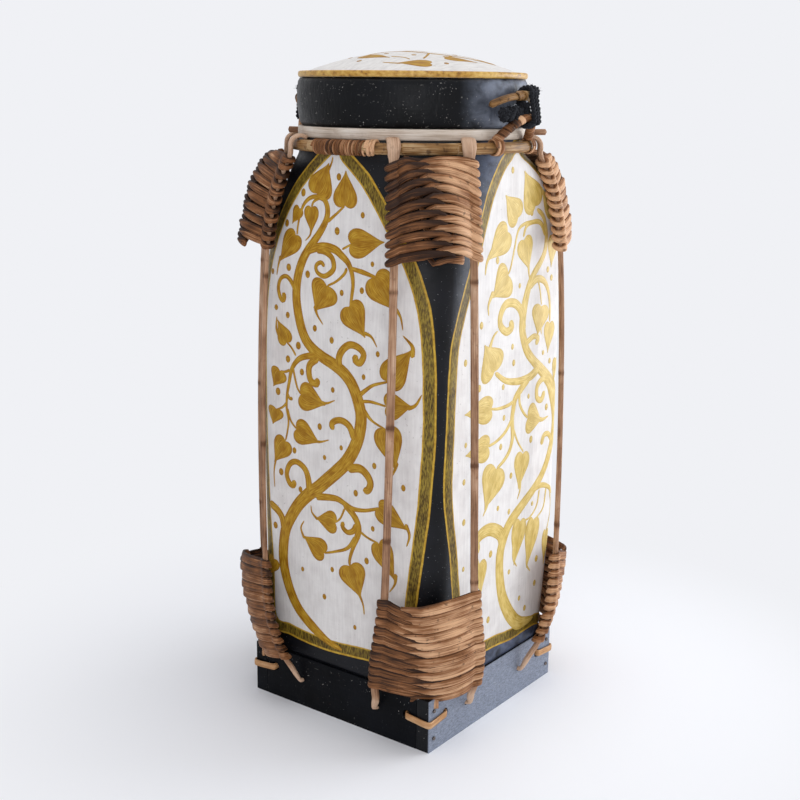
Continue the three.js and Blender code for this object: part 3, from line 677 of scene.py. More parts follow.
# %% [markdown]
# The white panel's outline was read off the photograph on the two faces that show, and is given as heights
# and distances from the face's middle. The two hidden faces repeat them. The distance from each point of
# the skin to that outline is what the paint finish reads.
# %% The outline of the white panels
# the left face is as the right one, but its forward half is narrower
LEFT_SQUEEZE = 0.87
PANEL_FRONT = [
    (-4.5, 376.5), (1.4, 371), (14.8, 359.5), (24.3, 348), (33, 336), (42, 322), (49.3, 310.5), (55, 298),
    (60.2, 281), (63.4, 256), (64.5, 230), (64.6, 207), (63.4, 184), (61.8, 160), (60, 145.5), (57.6, 126.6),
    (53.7, 96), (50, 61), (21, 57.5), (-9.7, 55), (-31, 55.6), (-44.4, 57.6), (-57, 60.5), (-58, 96),
    (-60, 126), (-62, 160), (-63.5, 207), (-63.5, 256), (-61.5, 285), (-57.5, 304), (-51, 322), (-44, 336),
    (-36, 348), (-24, 361),
]
PANEL_RIGHT = [
    (15.5, 377), (25, 371.5), (35, 365.5), (45.5, 357), (54, 345), (60, 331), (64.5, 318), (68, 301),
    (70.5, 279), (71.5, 256), (71.5, 207), (71.5, 160), (71.5, 126), (71, 96), (70, 53.5), (54, 53),
    (38.7, 52.8), (21.8, 52.4), (2.6, 54.7), (-14.7, 55.7), (-40, 59), (-41, 80), (-42, 98), (-43.7, 109),
    (-46.9, 130.6), (-51.2, 152), (-53.4, 169), (-53.6, 186), (-52.7, 204), (-52.2, 223), (-51.2, 242),
    (-49.5, 260), (-44.5, 276), (-37.5, 292), (-32, 303.5), (-26.5, 317.7), (-20, 334), (-12.5, 350.6),
    (-1.8, 365), (6.5, 372),
]


def inside_distance(points, outline):
    """Signed distance to a closed outline: the least distance to its pieces, positive inside."""
    a = np.asarray(outline, float)
    b = np.roll(a, -1, 0)
    edge = b - a
    out = []
    for part in np.array_split(points, 40):
        away = part[:, None] - a
        share = np.clip(np.sum(away * edge, 2) / np.sum(edge**2, 1), 0, 1)
        gap = np.linalg.norm(away - share[..., None] * edge, axis=2).min(1)
        crosses = (a[:, 1] > part[:, 1:]) != (b[:, 1] > part[:, 1:])
        meet = a[:, 0] + (part[:, 1:] - a[:, 1]) * edge[:, 0] / np.where(edge[:, 1] == 0, 1e-9, edge[:, 1])
        within = np.sum(crosses & (part[:, :1] < meet), 1) % 2 == 1
        out.append(np.where(within, gap, -gap))
    return np.concatenate(out)


PANEL_LEFT = [(along * LEFT_SQUEEZE if along > 0 else along, height) for along, height in PANEL_RIGHT]
PANELS = [PANEL_FRONT, PANEL_RIGHT, PANEL_FRONT, PANEL_LEFT]
PANELS = [smooth_path(outline, 240, closed=True) for outline in PANELS]
print("panel outlines of", len(PANELS[0]), "points")

# %% [markdown]
# The vessel itself: the outer skin goes up, turns over the lip, and comes down inside to the floor. Rows
# are heights and columns go round all four sides, so the whole vessel is one closed grid.
# %% Body
OUTER_ROWS, INNER_ROWS, COLUMNS_A_SIDE = 176, 36, 72
FAR_OUTSIDE = -50.0


def body_strand():
    """Rows go up the outer skin and down the inner one, a wall's thickness in. Columns go round, even in
    distance. The panel number is the greatest over this side's outline and its two neighbours', whose
    distances are measured on round the corner."""
    outer = np.linspace(FOOT, FOOT + TALL, OUTER_ROWS)
    inner = np.linspace(FOOT + TALL, FOOT + WALL, INNER_ROWS)
    height = np.concatenate([outer, inner])[:, None]
    lift = np.concatenate([np.zeros(OUTER_ROWS), np.full(INNER_ROWS, -WALL)])[:, None]
    side = np.repeat(np.arange(4), COLUMNS_A_SIDE)[None]
    share = np.tile(np.linspace(-1, 1, COLUMNS_A_SIDE, endpoint=False), 4)[None]
    half, radius = skin_plan(height, np.where(share < 0, side - 1, side) % 4)
    along = share * (half - radius + radius * np.pi / 4)
    points = skin_point(side, along, height, lift)
    panel = np.full(along.shape, FAR_OUTSIDE)
    for k in range(4):
        mine = side[0] == k
        here = along[:OUTER_ROWS, mine]
        found = []
        for owner, corner, step in ((k, k, 0), (k - 1, k - 1, 2), (k + 1, k, -2)):
            half, radius = skin_plan(outer[:, None], corner % 4)
            moved = here + step * (half - radius + radius * np.pi / 4)
            flat_points = np.stack([moved, np.broadcast_to(outer[:, None], here.shape)], -1)
            found.append(inside_distance(flat_points.reshape(-1, 2), PANELS[owner % 4]))
        panel[:OUTER_ROWS, mine] = np.max(found, 0).reshape(OUTER_ROWS, -1)
    rows, columns = along.shape
    faces = grid_faces(rows, columns).tolist()
    points = np.concatenate([points.reshape(-1, 3), [[0, 0, FOOT], [0, 0, FOOT + WALL]]])
    last = (rows - 1) * columns
    ring = np.arange(columns)
    beside = (ring + 1) % columns
    faces += np.stack([beside, ring, np.full(columns, rows * columns)], 1).tolist()
    faces += np.stack([last + ring, last + beside, np.full(columns, rows * columns + 1)], 1).tolist()
    return {"points": points, "faces": faces, "panel": np.concatenate([panel.ravel(), [FAR_OUTSIDE] * 2])}


make_piece("body_skin", [body_strand()], PAINTED_BODY, "box", ["body_shell"])

# %% [markdown]
# A painted stroke is a ribbon with a low crown, whose edges sink just into the surface below it. It could
# be a picture laid on the face, but a ribbon keeps its edge and catches the light as thick paint does. The
# surface is passed in as a function, so the same strokes work on the body and on the dome of the lid.
# %% Helpers for painting
STROKE_ACROSS = np.array([-1, -0.8, -0.4, 0, 0.4, 0.8, 1])
STROKE_LIFT = np.array([-0.12, 0.1, 0.17, 0.19, 0.17, 0.1, -0.12])
LEAF_ROWS = 26
# half of a heart: how far along the leaf, and how far out as a share of its width
LEAF_OUTLINE = np.array([
    (0.0, 0.0), (-0.06, 0.1), (-0.085, 0.24), (-0.03, 0.39), (0.12, 0.49), (0.32, 0.47), (0.52, 0.345),
    (0.7, 0.205), (0.85, 0.09), (0.95, 0.035), (1.0, 0.018),
])


def painted(points, faces, grain, rim):
    """A strand of paint. Where rim is 1 the paint shows its darkest tone."""
    return {
        "points": points.reshape(-1, 3),
        "faces": faces,
        "grain": grain.reshape(-1, 3),
        "tint": rim.ravel(),
    }


def stroke(surface, knots, widths):
    """A ribbon along a smooth curve through the knots, with a row in each millimetre. The width runs evenly
    between the given ones, and both ends are closed in a half round."""
    knots = np.asarray(knots, float)
    count = max(10, int(lengths(smooth_path(knots, 60))[-1]))
    path = smooth_path(knots, count)
    far = lengths(path)
    half = np.interp(far / far[-1], np.linspace(0, 1, len(widths)), widths) / 2
    half = half * rounded_ends(path, max(0.6, half.mean()))
    heading = headings(path)
    normal = np.stack([-heading[:, 1], heading[:, 0]], 1)
    flat = path[:, None] + STROKE_ACROSS[:, None] * (half[:, None] * normal)[:, None]
    points = surface(flat[..., 0], flat[..., 1], np.broadcast_to(STROKE_LIFT, flat.shape[:2]))
    across = np.broadcast_to(STROKE_ACROSS, flat.shape[:2])
    along = np.broadcast_to(far[:, None], across.shape) + knots[0, 0] * 3
    grain = np.stack([along, across * half[:, None], across * 0], -1)
    rim = np.clip((np.abs(across) - 0.55) / 0.45, 0, 1)
    faces = grid_faces(count, len(STROKE_ACROSS), columns_close=False).tolist()
    return painted(points, faces, grain, rim)


def leaf(surface, base, tip, width):
    """A heart-shaped leaf with a drawn-out tip. Its half outline is a smooth curve, and each half is a
    grid from the midrib to that outline. The grain follows the outline, as the brush did."""
    base, tip = np.asarray(base, float), np.asarray(tip, float)
    axis = tip - base
    length = np.linalg.norm(axis)
    axis = axis / length
    cross = np.array([-axis[1], axis[0]])
    outline = smooth_path(LEAF_OUTLINE, LEAF_ROWS)
    rib = np.linspace(0, 1, LEAF_ROWS) ** 1.25
    share = np.array([0, 0.35, 0.7, 0.9, 1.0])
    lift = np.array([0.2, 0.19, 0.16, 0.08, -0.12])
    halves = []
    for hand in (-1, 1):
        forth = rib[:, None] + (outline[:, :1] - rib[:, None]) * share
        out = hand * outline[:, 1:] * share * width / length
        flat = base + length * (forth[..., None] * axis + out[..., None] * cross)
        points = surface(flat[..., 0], flat[..., 1], np.broadcast_to(lift, forth.shape))
        across = np.broadcast_to(share * width / 2 * hand, forth.shape)
        grain = np.stack([forth * length, across, forth * 0], -1)
        faces = grid_faces(LEAF_ROWS, len(share), columns_close=False)
        if hand > 0:
            faces = faces[:, ::-1]
        rim = np.broadcast_to(np.clip((share - 0.72) / 0.28, 0, 1), forth.shape)
        vein = np.broadcast_to(np.clip(1 - share / 0.08, 0, 1) * 0.6, forth.shape)
        halves.append(painted(points, faces.tolist(), grain, np.maximum(rim, vein)))
    return halves


def dot(surface, place, size, tall=1.25):
    """A round blob of paint: rings of points, each lower than the one inside it."""
    angle = np.linspace(0, 2 * np.pi, 14, endpoint=False)
    ring = np.array([0.02, 0.5, 0.85, 1.0])[:, None]
    x = place[0] + ring * size * np.cos(angle)
    z = place[1] + ring * size * tall * np.sin(angle)
    points = surface(x, z, np.broadcast_to(np.array([0.2, 0.18, 0.1, -0.12])[:, None], x.shape))
    grain = np.stack([x, z, x * 0], -1)
    faces = grid_faces(4, 14).tolist()
    rim = np.broadcast_to(np.array([0.3, 0.3, 0.7, 1.0])[:, None], x.shape)
    return painted(points, faces, grain, rim)


print("painting helpers ready")

# %% [markdown]
# The vine of each face is a list of strokes, leaves and dots, in millimetres from the face's middle and
# from the ground. The main stem swings up the panel in an S, shoots and curls leave it on both sides, and
# every leaf hangs from its own stalk. The two hidden faces repeat the two that show.
# %% The vine on the front and back
# each stem: its knots, then its widths from start to end, which the breadth of the brush multiplies
BRUSH = 1.22
FRONT_STEMS = [
    ([(2, 50.5), (-9, 53), (-18, 57), (-27, 62.5), (-35, 69), (-41, 77), (-46, 88), (-49, 100), (-49, 112),
      (-47, 124), (-43, 133), (-35, 145), (-26, 154), (-18, 160), (-10, 167), (-1, 175), (6, 182), (12, 191),
      (16, 200), (18, 209), (18, 216), (16, 223), (13, 230), (9, 236), (3, 241), (-5, 245), (-13, 248),
      (-21, 252), (-27, 257), (-31, 264), (-34, 274), (-35.5, 284), (-35, 294), (-33, 302), (-30, 309),
      (-26, 315), (-21, 321), (-16, 327), (-12, 333), (-10, 338), (-10, 343), (-12, 347), (-16, 350),
      (-19, 353)], [2.6, 7.4, 7.6, 7.8, 8, 8.4, 8.6, 8.6, 8.4, 7.7, 7, 6.6, 5.9, 4.4, 3]),
    ([(-27, 315), (-14, 318.5), (-4, 317.5), (2, 314), (7, 310), (10, 304), (11, 297), (10, 289), (9, 283)],
     [5.2, 5, 5, 3.6, 2.6, 2]),
    ([(8, 307), (18, 305.5), (29, 303)], [2.4, 3, 2]),
    ([(6, 307), (4, 303), (-2, 298), (-10, 294)], [2.2, 1.6, 1.3]),
    ([(-19, 316), (-12, 315.5), (-6, 312), (-4.5, 306), (-8, 302), (-13, 300), (-18, 302), (-19, 306),
      (-15, 308.5), (-12, 306)], [4.2, 3.6, 3.4, 2.6, 2.6]),
    ([(-35, 286), (-39, 293), (-44, 297), (-49, 295), (-51, 289), (-49.5, 283), (-47, 281), (-46, 284),
      (-47.5, 286)], [3.6, 3, 2.4, 2.8, 3.6]),
    ([(-10, 334), (-2, 340), (4, 345)], [2.2, 1.6, 1.3]), ([(2, 318), (10, 322)], [1.4, 1.2]),
    ([(-11, 347), (-18, 349), (-24, 348), (-29, 344), (-32, 338), (-34, 331), (-35, 324)],
     [3, 2.6, 1.6, 1.2]),
    ([(-15, 349), (-21, 346), (-23, 342)], [2.2, 1.2]), ([(-36, 246), (-40, 251), (-44, 254)], [1.6, 1.2]),
    ([(-18, 249), (-30, 246), (-36, 242), (-40, 236), (-42, 228), (-44, 219), (-44.5, 210), (-43, 202),
      (-44, 194), (-46, 187)], [4.6, 3.6, 2.6, 2, 1.6, 1.2]),
    ([(-41, 236), (-46, 234), (-50, 234)], [2, 1.4]), ([(-44, 214), (-48, 210), (-54, 207)], [1.8, 1.2]),
    ([(-39, 239), (-37, 231), (-35, 225), (-32, 221)], [1.8, 1.4]),
    ([(-43.5, 220), (-42, 217), (-39, 217)], [1.6, 2.6]), ([(-44, 210), (-41, 202), (-36, 197)], [1.8, 1.3]),
    ([(-17, 247), (-24, 242), (-25, 236), (-23, 231), (-18.5, 230), (-18, 234)], [4.4, 4.6, 4.4, 4.6]),
    ([(1, 240), (0, 249), (3, 255), (9, 259), (16, 258), (20, 254), (17, 248.5), (13, 250), (15, 253)],
     [5, 4.8, 4.4, 4.2, 4.6]),
    ([(17, 228), (22, 232), (28, 236), (40, 240)], [3, 2, 1.3]),
    ([(18, 224), (26, 225), (38, 224)], [2.2, 1.8, 1.2]),
    ([(20, 219), (27, 213), (38, 209)], [3.4, 1.6, 1.2]),
    ([(13, 198), (9, 206), (3, 209), (-3, 208), (-6, 205), (-4, 202)], [5, 4.6, 4, 4.2]),
    ([(-25, 153), (-26, 164), (-29, 171), (-36, 174.5), (-42, 172), (-45, 165), (-43, 159), (-39.5, 157.5),
      (-38, 161.5)], [5.4, 4.6, 3.8, 3.6, 4.2]),
    ([(7, 178), (17, 180), (23, 177), (26, 172), (24, 167), (20, 166)], [5.6, 5.4, 5, 4.6]),
    ([(-20, 154), (-3, 156), (5, 154), (12, 152), (22, 153), (34, 157)], [5, 4.2, 3.4, 2.4, 1.8]),
    ([(4, 154), (12, 148), (16, 142), (16, 136), (12, 126), (9, 117), (9, 112)], [4.2, 4.6, 4.4, 2.6, 2]),
    ([(15, 142), (12, 137), (7, 135), (3, 138), (4, 141.5)], [4.4, 3.4, 3.2]),
    ([(14, 133), (7, 124), (-4, 119), (-13, 116)], [3, 2, 1.3]),
    ([(5, 151), (1, 143), (-4, 139)], [1.6, 1.2]), ([(17, 138), (24, 135), (33, 133)], [1.8, 1.3]),
    ([(-62, 141), (-55, 138), (-50, 133), (-48, 124)], [5.4, 5, 4.8]),
    ([(-6, 374), (-7, 370), (-11, 363)], [0.9, 1.5, 2.2]), ([(21, 81), (20, 88), (16, 96)], [0.9, 1.4, 2.6]),
    ([(41.5, 102), (46, 109), (46.5, 116)], [0.7, 1.6, 3.4]),
    ([(-13, 269), (-18, 275), (-20, 281)], [0.7, 1.5, 3]),
    ([(-28, 321), (-24, 325), (-23, 330)], [0.7, 1.2, 2]),
    ([(-52.5, 297), (-51, 304), (-49, 310)], [0.7, 1.4, 2.2]),
    ([(-56, 153), (-56.5, 164), (-54.5, 174)], [0.6, 1, 1.8]),
    ([(-3, 221.5), (-10, 218.5), (-15, 218.5)], [0.6, 1.4, 2.2]),
    ([(-8, 194.5), (-15, 192), (-21, 191.5)], [0.6, 1.3, 2.4]),
    ([(50, 270), (57, 264), (57, 257)], [0.8, 2.2, 3.4]),
    ([(64, 235), (60, 228), (54, 225)], [0.7, 1.8, 2.8]),
    ([(40.5, 176), (45, 184), (47, 190)], [0.7, 1.6, 3]), ([(55, 136), (57, 144), (54, 151)], [0.8, 1.8, 3]),
    ([(-24, 147), (-23, 142), (-18, 138)], [0.7, 1.4, 2.2]),
    ([(-30, 135), (-33, 129), (-30, 122)], [0.8, 1.4, 2.2]),
    ([(30.5, 260), (26, 266), (20, 268)], [0.7, 1.6, 2.6]),
    ([(50, 273), (48, 281), (43, 287)], [0.7, 1.6, 3]),
    ([(-52.5, 270), (-53, 262), (-50, 256)], [0.8, 1.6, 2.4]),
]
# each leaf: its stalk end, its tip and its width
FRONT_LEAVES = [
    ((-18, 351), (-9, 370), 22), ((4, 345), (4.5, 366), 20.5), ((9, 322), (35, 325), 20),
    ((-10, 294), (-20, 277), 25), ((8, 283), (21, 265), 23), ((28, 303), (44, 284), 25),
    ((-33, 341), (-39, 331), 10), ((-23, 342), (-23, 326), 13), ((-36, 324), (-50, 306), 17),
    ((-44, 254), (-52, 268), 14), ((-32, 221), (-11, 217), 21), ((-36, 197), (-16, 191), 19),
    ((-50, 234), (-56, 223), 16), ((-54, 208), (-57, 197), 16), ((-46, 187), (-56, 171), 18),
    ((39, 240), (57, 262), 22), ((38, 224), (58, 227), 19), ((38, 209), (46, 184), 24),
    ((33, 157), (56, 147), 18), ((-3, 139), (-20, 139), 17), ((-13, 116), (-31, 124), 18),
    ((9, 112), (18, 92), 25), ((33, 133), (46, 111), 19), ((-58, 101), (-64, 88), 14),
]
FRONT_DOTS = [
    (-1, 362), (-30, 351), (-44, 331), (-33, 321), (18, 340), (-2, 329), (26, 311), (-42, 303), (-26, 300),
    (18, 294), (2, 291), (-57, 299), (-53, 276), (-43, 272), (-20, 266), (-6, 260), (-34, 253), (-43, 243),
    (-31, 236), (-52, 220), (-5, 228), (20, 240), (-16, 202), (2, 191), (-12, 182), (-38, 182), (29, 184),
    (-50, 165), (14, 163), (-33, 156), (52, 174), (31, 256), (-32, 100), (-6, 106), (23, 119), (28, 142),
    (-13, 85), (13, 70), (-56, 126), (38, 80), (40, 148), (46, 316),
]
print(len(FRONT_STEMS), "stems and", len(FRONT_LEAVES), "leaves on the front")

# %% The vine on the right and left
RIGHT_STEMS = [
    ([(52, 51), (41, 51.5), (31, 54), (22, 62), (15, 71), (9, 82), (5.4, 96), (4.5, 107), (6, 117), (13, 129),
      (22, 135.5), (32, 141), (43, 147), (53, 154), (60, 162), (65, 172), (68.5, 182), (70, 192), (69.5, 200),
      (67.8, 207), (65, 215), (60.5, 222), (50, 231), (40, 238.5), (31, 246.5), (26, 255), (23.5, 264),
      (25, 276.5), (30.5, 290.5), (37, 298.5), (44, 304.5), (49.3, 311), (51, 319), (50, 327), (46, 335),
      (38, 340)], [3, 9.6, 10, 9.2, 8.8, 8.8, 8.2, 7, 6, 5.6, 7.4, 10, 8, 6.2, 7, 7.6, 5.6, 4.6, 3.6, 3]),
    ([(46, 234), (38, 230), (29, 228.5), (17, 229), (4, 232), (-8, 239)], [6.4, 5.4, 4.6, 3.8, 3]),
    ([(34, 229), (23, 222), (17, 217), (15, 210), (14, 204), (15, 196), (15, 190), (12, 183), (6, 178),
      (-3, 174)], [5.8, 5.4, 4.6, 4, 3.2, 2.2]),
    ([(16, 216), (8, 214.5), (-3, 214.5), (-12, 216)], [2.6, 2.2, 1.6]),
    ([(14, 204), (6, 197), (-4, 193), (-14, 191.5)], [3.2, 2.4, 1.7]),
    ([(16, 197), (22, 187), (30, 178)], [2, 1.2]),
    ([(29, 228), (23, 221), (23, 213), (28, 206), (34, 201)], [2.6, 2.4, 1.8]),
    ([(60, 223), (52, 225), (45, 221), (45, 213), (51, 210.5), (54.5, 216)], [4.4, 4.2, 4, 4.4]),
    ([(25, 251), (33, 254.5), (39, 256), (44, 254), (41, 250)], [4.2, 4, 3.6, 4.2]),
    ([(67, 178), (62, 184), (56, 184), (53, 178)], [3.4, 3.6, 4.4]),
    ([(8, 117), (5, 126), (-3, 131.5), (-11, 134), (-20, 133), (-25, 129), (-22, 121)],
     [9, 9, 8.6, 8.2, 7.6, 6.6]),
    ([(-25, 126), (-23, 117), (-20, 111)], [2.4, 1.8]),
    ([(25, 261), (22, 274), (14, 281), (3, 282), (-3, 276), (-3, 269), (4, 264), (10.5, 266), (8, 270.5)],
     [6.6, 6, 5.4, 5.2, 5, 5.4]),
    ([(31, 290), (40, 294), (49, 292), (55, 285), (58, 274), (58.5, 263)], [5.4, 4.4, 2.6, 1.6]),
    ([(50, 322), (44, 330), (36, 332), (26, 330), (22, 323)], [3.4, 3, 2]),
    ([(36, 332), (24, 331.5), (16, 328), (12, 318), (8, 306), (5, 301)], [2.6, 1.8, 1.5]),
    ([(30, 140), (42, 147), (55, 148.5), (65, 145), (71, 139)], [4.6, 4.4, 3.6, 2.4]),
    ([(53, 146), (50, 135), (41, 128.5), (29, 129)], [1.8, 1.2]),
    ([(62, 145), (59.5, 132), (53, 127), (47, 125)], [1.8, 1.2]),
    ([(42, 293), (45, 285), (47, 276)], [1.6, 1.2]), ([(67, 143), (70, 128), (65, 112)], [1.6, 1]),
    ([(-22, 303), (-20, 311), (-14, 318)], [1, 2.4, 3.8]), ([(32, 292), (30, 299), (29, 306)], [0.8, 1.8, 3]),
    ([(-17, 277), (-17.5, 284), (-12, 292)], [1, 2.2, 3.8]),
    ([(48, 256), (47, 262), (47, 267)], [0.8, 1.6, 2.6]), ([(-6, 266), (-11, 263), (-15, 256)], [1, 2, 3.4]),
    ([(-18, 145), (-13, 152), (-12, 160)], [0.9, 2.2, 4]), ([(24, 146), (27, 152), (27, 160)], [0.9, 1.8, 3]),
    ([(61, 197), (54, 196), (49, 197)], [0.8, 2.2, 3.4]), ([(27, 97), (22, 104), (22, 114)], [0.8, 2, 3.6]),
    ([(45, 88), (40, 95), (41, 106)], [0.8, 2, 3.6]),
]
RIGHT_LEAVES = [
    ((36, 342), (22, 365), 26), ((15, 336), (0, 351), 22), ((57, 335), (43, 354), 12),
    ((3, 328), (-19, 312), 23), ((23, 321), (30, 301), 21), ((60, 320), (58, 300), 14),
    ((5, 300), (-13, 288), 27), ((47, 275), (43, 256), 24), ((58.5, 262), (57, 242), 15),
    ((68, 236), (66, 220), 8), ((-9, 240), (-21, 259), 31), ((-12, 216), (-42, 218), 20),
    ((-14, 191), (-40, 191), 20), ((-4, 174), (-16, 149), 31), ((29, 177), (25, 153), 21),
    ((34, 201), (52, 196), 23), ((-20, 113), (-17, 91), 18), ((29, 129), (23, 99), 20),
    ((47, 125), (40, 92), 20), ((65, 112), (63, 88), 11),
]
RIGHT_DOTS = [
    (8, 366), (43, 362), (32, 338), (-8, 311), (19, 292), (54, 299), (59, 293), (-25, 272), (12, 253),
    (14, 242), (51, 243), (60, 236), (2, 228), (34, 216), (58, 204), (4, 207), (39, 185), (1, 188), (15, 165),
    (57, 157), (-42, 251), (-40, 198), (-41, 174), (0, 146), (14, 140), (44, 138), (-7, 116), (17, 96),
    (52, 77), (32, 72), (-7, 69), (-40, 147), (-39, 115), (53, 95), (-24, 76), (-26, 232), (40, 62),
]
print(len(RIGHT_STEMS), "stems and", len(RIGHT_LEAVES), "leaves on the right")

# %% Paint the four vines
vines = [(FRONT_STEMS, FRONT_LEAVES, FRONT_DOTS), (RIGHT_STEMS, RIGHT_LEAVES, RIGHT_DOTS)] * 2
random = np.random.default_rng(7)
for side, (stems, leaves, dots) in enumerate(vines):
    def on_side(along, height, lift, side=side):
        along = np.where((side == 3) & (along > 0), along * LEFT_SQUEEZE, along)
        return skin_point(side, along, height, lift)

    strands = [stroke(on_side, knots, np.multiply(widths, BRUSH)) for knots, widths in stems]
    for base, tip, width in leaves:
        strands += leaf(on_side, base, tip, width)
    strands += [dot(on_side, place, random.uniform(1.5, 2.3)) for place in dots]
    # the right face takes the gold with the painted reflection
    paint = GOLD_PAINTED_SHEEN if side == 1 else GOLD
    make_piece("vine_" + SIDES[side], strands, paint, "box", outward=False)

# %% [markdown]
# The base is four boards on edge with holes for the rods and stitches. The frame already has the boards
# with their holes cut, so a merged copy gets a soft edge from a Bevel modifier. A new mesh could not sit
# truer, and the frame's own mesh stays as it is.
# %% Base boards
BOARD_EDGE = 0.7


def soft_edged_copy(node, name, finish, edge):
    """A merged copy of a frame node: its flat triangles become large faces, and its edges are bevelled."""
    source = frame["nodes"][node]
    mesh = source.data.copy()
    mesh.name = name
    cleaned = bmesh.new()
    cleaned.from_mesh(mesh)
    bmesh.ops.remove_doubles(cleaned, verts=cleaned.verts, dist=0.01 * MM)
    bmesh.ops.dissolve_limit(cleaned, angle_limit=math.radians(1), verts=cleaned.verts, edges=cleaned.edges)
    cleaned.to_mesh(mesh)
    cleaned.free()
    mesh.materials.clear()
    mesh.materials.append(finish)
    piece = bpy.data.objects.new(name, mesh)
    bpy.context.scene.collection.objects.link(piece)
    bevel = piece.modifiers.new("soft_edge", "BEVEL")
    bevel.width = edge * MM
    bevel.segments = 2
    bevel.limit_method = "ANGLE"
    bevel.angle_limit = math.radians(50)
    bevel.harden_normals = False
    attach(piece, frame["nodes"][node]["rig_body"])
    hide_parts(node)
    print(f"{name}: {len(mesh.polygons)} faces before its soft edge")
    return piece


for side in SIDES:
    # the right board takes the lacquer with a painted sheen on its outer face
    board_finish = WORN_LACQUER_PAINTED_SHEEN if side == "right" else LACQUER
    soft_edged_copy("base_board_" + side, "board_" + side, board_finish, BOARD_EDGE)

# %% [markdown]
# Nails hold the boards together. Each is a small turned head on a shank, painted over with the boards and
# then rubbed bare. They keep the frame's own meshes and only get a finish.
# %% Nails
def dark_iron():
    material, shader = start_finish("dark_iron", Metallic=0.55)
    place = place_in_mm(material)
    rust = noise(material, place, 1.4, 4)
    tone = ramp(material, rust, [
        (0.35, shade(58, 50, 46)), (0.6, shade(120, 112, 108)), (0.75, shade(124, 78, 48)),
    ])
    rough = ramp(material, rust, [(0.3, 0.4), (0.8, 0.7)])
    plug(material, shader, Base_Color=tone, Roughness=rough, Normal=bump(material, rust, 0.1, 0.5))
    return material


IRON = dark_iron()
nails = [node for name, node in frame["nodes"].items() if name.startswith("nail_")]
for nail in nails:
    nail.data.materials.clear()
    nail.data.materials.append(IRON)
print(len(nails), "nails")

# %% [markdown]
# Above the body sit turned pieces: the cream bamboo band, and inside it the collar that the lid slips
# over. A turned piece is a closed profile of radius and height, swung round the upright.
# %% Neck band and collar
TURN_STEPS = 180


def turned_strand(profile, waves=0.0, seed=0, steps=TURN_STEPS):
    """A closed profile swung round. Grain runs round the ring: distance round it, then the profile."""
    profile = np.asarray(profile, float)
    angle = np.linspace(0, 2 * np.pi, steps, endpoint=False)[:, None]
    random = np.random.default_rng(seed)
    phase = random.uniform(0, 2 * np.pi, 4)
    wave = waves * sum(np.sin((k + 2) * angle + phase[k]) / (k + 1) for k in range(4))
    radius = profile[None, :, 0] + wave
    height = np.broadcast_to(profile[None, :, 1], radius.shape)
    points = np.stack([radius * np.cos(angle), radius * np.sin(angle), height], -1)
    middle = profile[:, 0].mean()
    round_it = middle * np.minimum(angle, 2 * np.pi - angle)
    grain = np.stack(np.broadcast_arrays(round_it, radius - middle, height), -1)
    return {
        "points": points.reshape(-1, 3),
        "faces": grid_faces(steps, len(profile), rows_close=True).tolist(),
        "grain": grain.reshape(-1, 3),
        "tint": np.full(steps * len(profile), 0.5),
    }


def soft_oblong(inner, outer, low, high, soft=0.7, belly=0.0):
    """The profile of a ring: an oblong with rounded corners, and a low parabola for a belly outside."""
    quarter = np.linspace(0, np.pi / 2, 4)
    corners = [(outer - soft, low + soft, -np.pi / 2), (outer - soft, high - soft, 0),
               (inner + soft, high - soft, np.pi / 2), (inner + soft, low + soft, np.pi)]
    loop = []
    for x, z, start in corners:
        loop += [(x + soft * math.cos(start + q), z + soft * math.sin(start + q)) for q in quarter]
        if start == -np.pi / 2 and belly:
            share = np.linspace(0, 1, 7)[1:-1]
            tall = high - low - 2 * soft
            loop += [(outer + belly * 4 * s * (1 - s), low + soft + tall * s) for s in share]
    return loop


band = turned_strand(soft_oblong(68.3, 73.5, 384.6, 391.3, 0.8, 0.2), 0.12, 3)
make_piece("cream_band", [band], BAND_BAMBOO, "box", ["neck_band"])
collar = turned_strand(soft_oblong(65.87, 67.87, 366.3, 409.3, 0.6), 0.0, 4, 120)
make_piece("collar_ring", [collar], BAND_BAMBOO, "box", ["inner_collar"])

# %% [markdown]
# The hoop is a thick cane bent round the neck and lapped on itself at the front, where fine strips bind the
# lap. The cane wanders a little and swells at its joints. Its two ends show as pale, knobby stubs.
# %% Neck hoop
HOOP_RADIUS, HOOP_HEIGHT, HOOP_THICK = 77.5, 380.0, 6.5
COIL_STEPS = 26
UP = np.array([0.0, 0.0, 1.0])


def ring_path(radius, height, start, end, count, wander=0.0, seed=1):
    """Points of an arc from one azimuth to another, in degrees, which wanders slightly in and out."""
    azimuth = np.radians(np.linspace(start, end, count))
    phase = np.random.default_rng(seed).uniform(0, 6.28, 6)
    sway = wander * sum(np.sin((k + 3) * azimuth + phase[k]) / (k + 1) for k in range(3))
    lift = wander * sum(np.sin((k + 2) * azimuth + phase[k + 3]) / (k + 1) for k in range(3))
    r = radius + sway
    return np.stack([r * np.cos(azimuth), r * np.sin(azimuth), height + lift], 1)


def cane_scale(path, knots, swell):
    """A scale that swells at each knot, given as distances along the path."""
    far = lengths(path)
    return 1 + swell * sum(np.exp(-((far - k) / 1.6) ** 2) for k in knots)


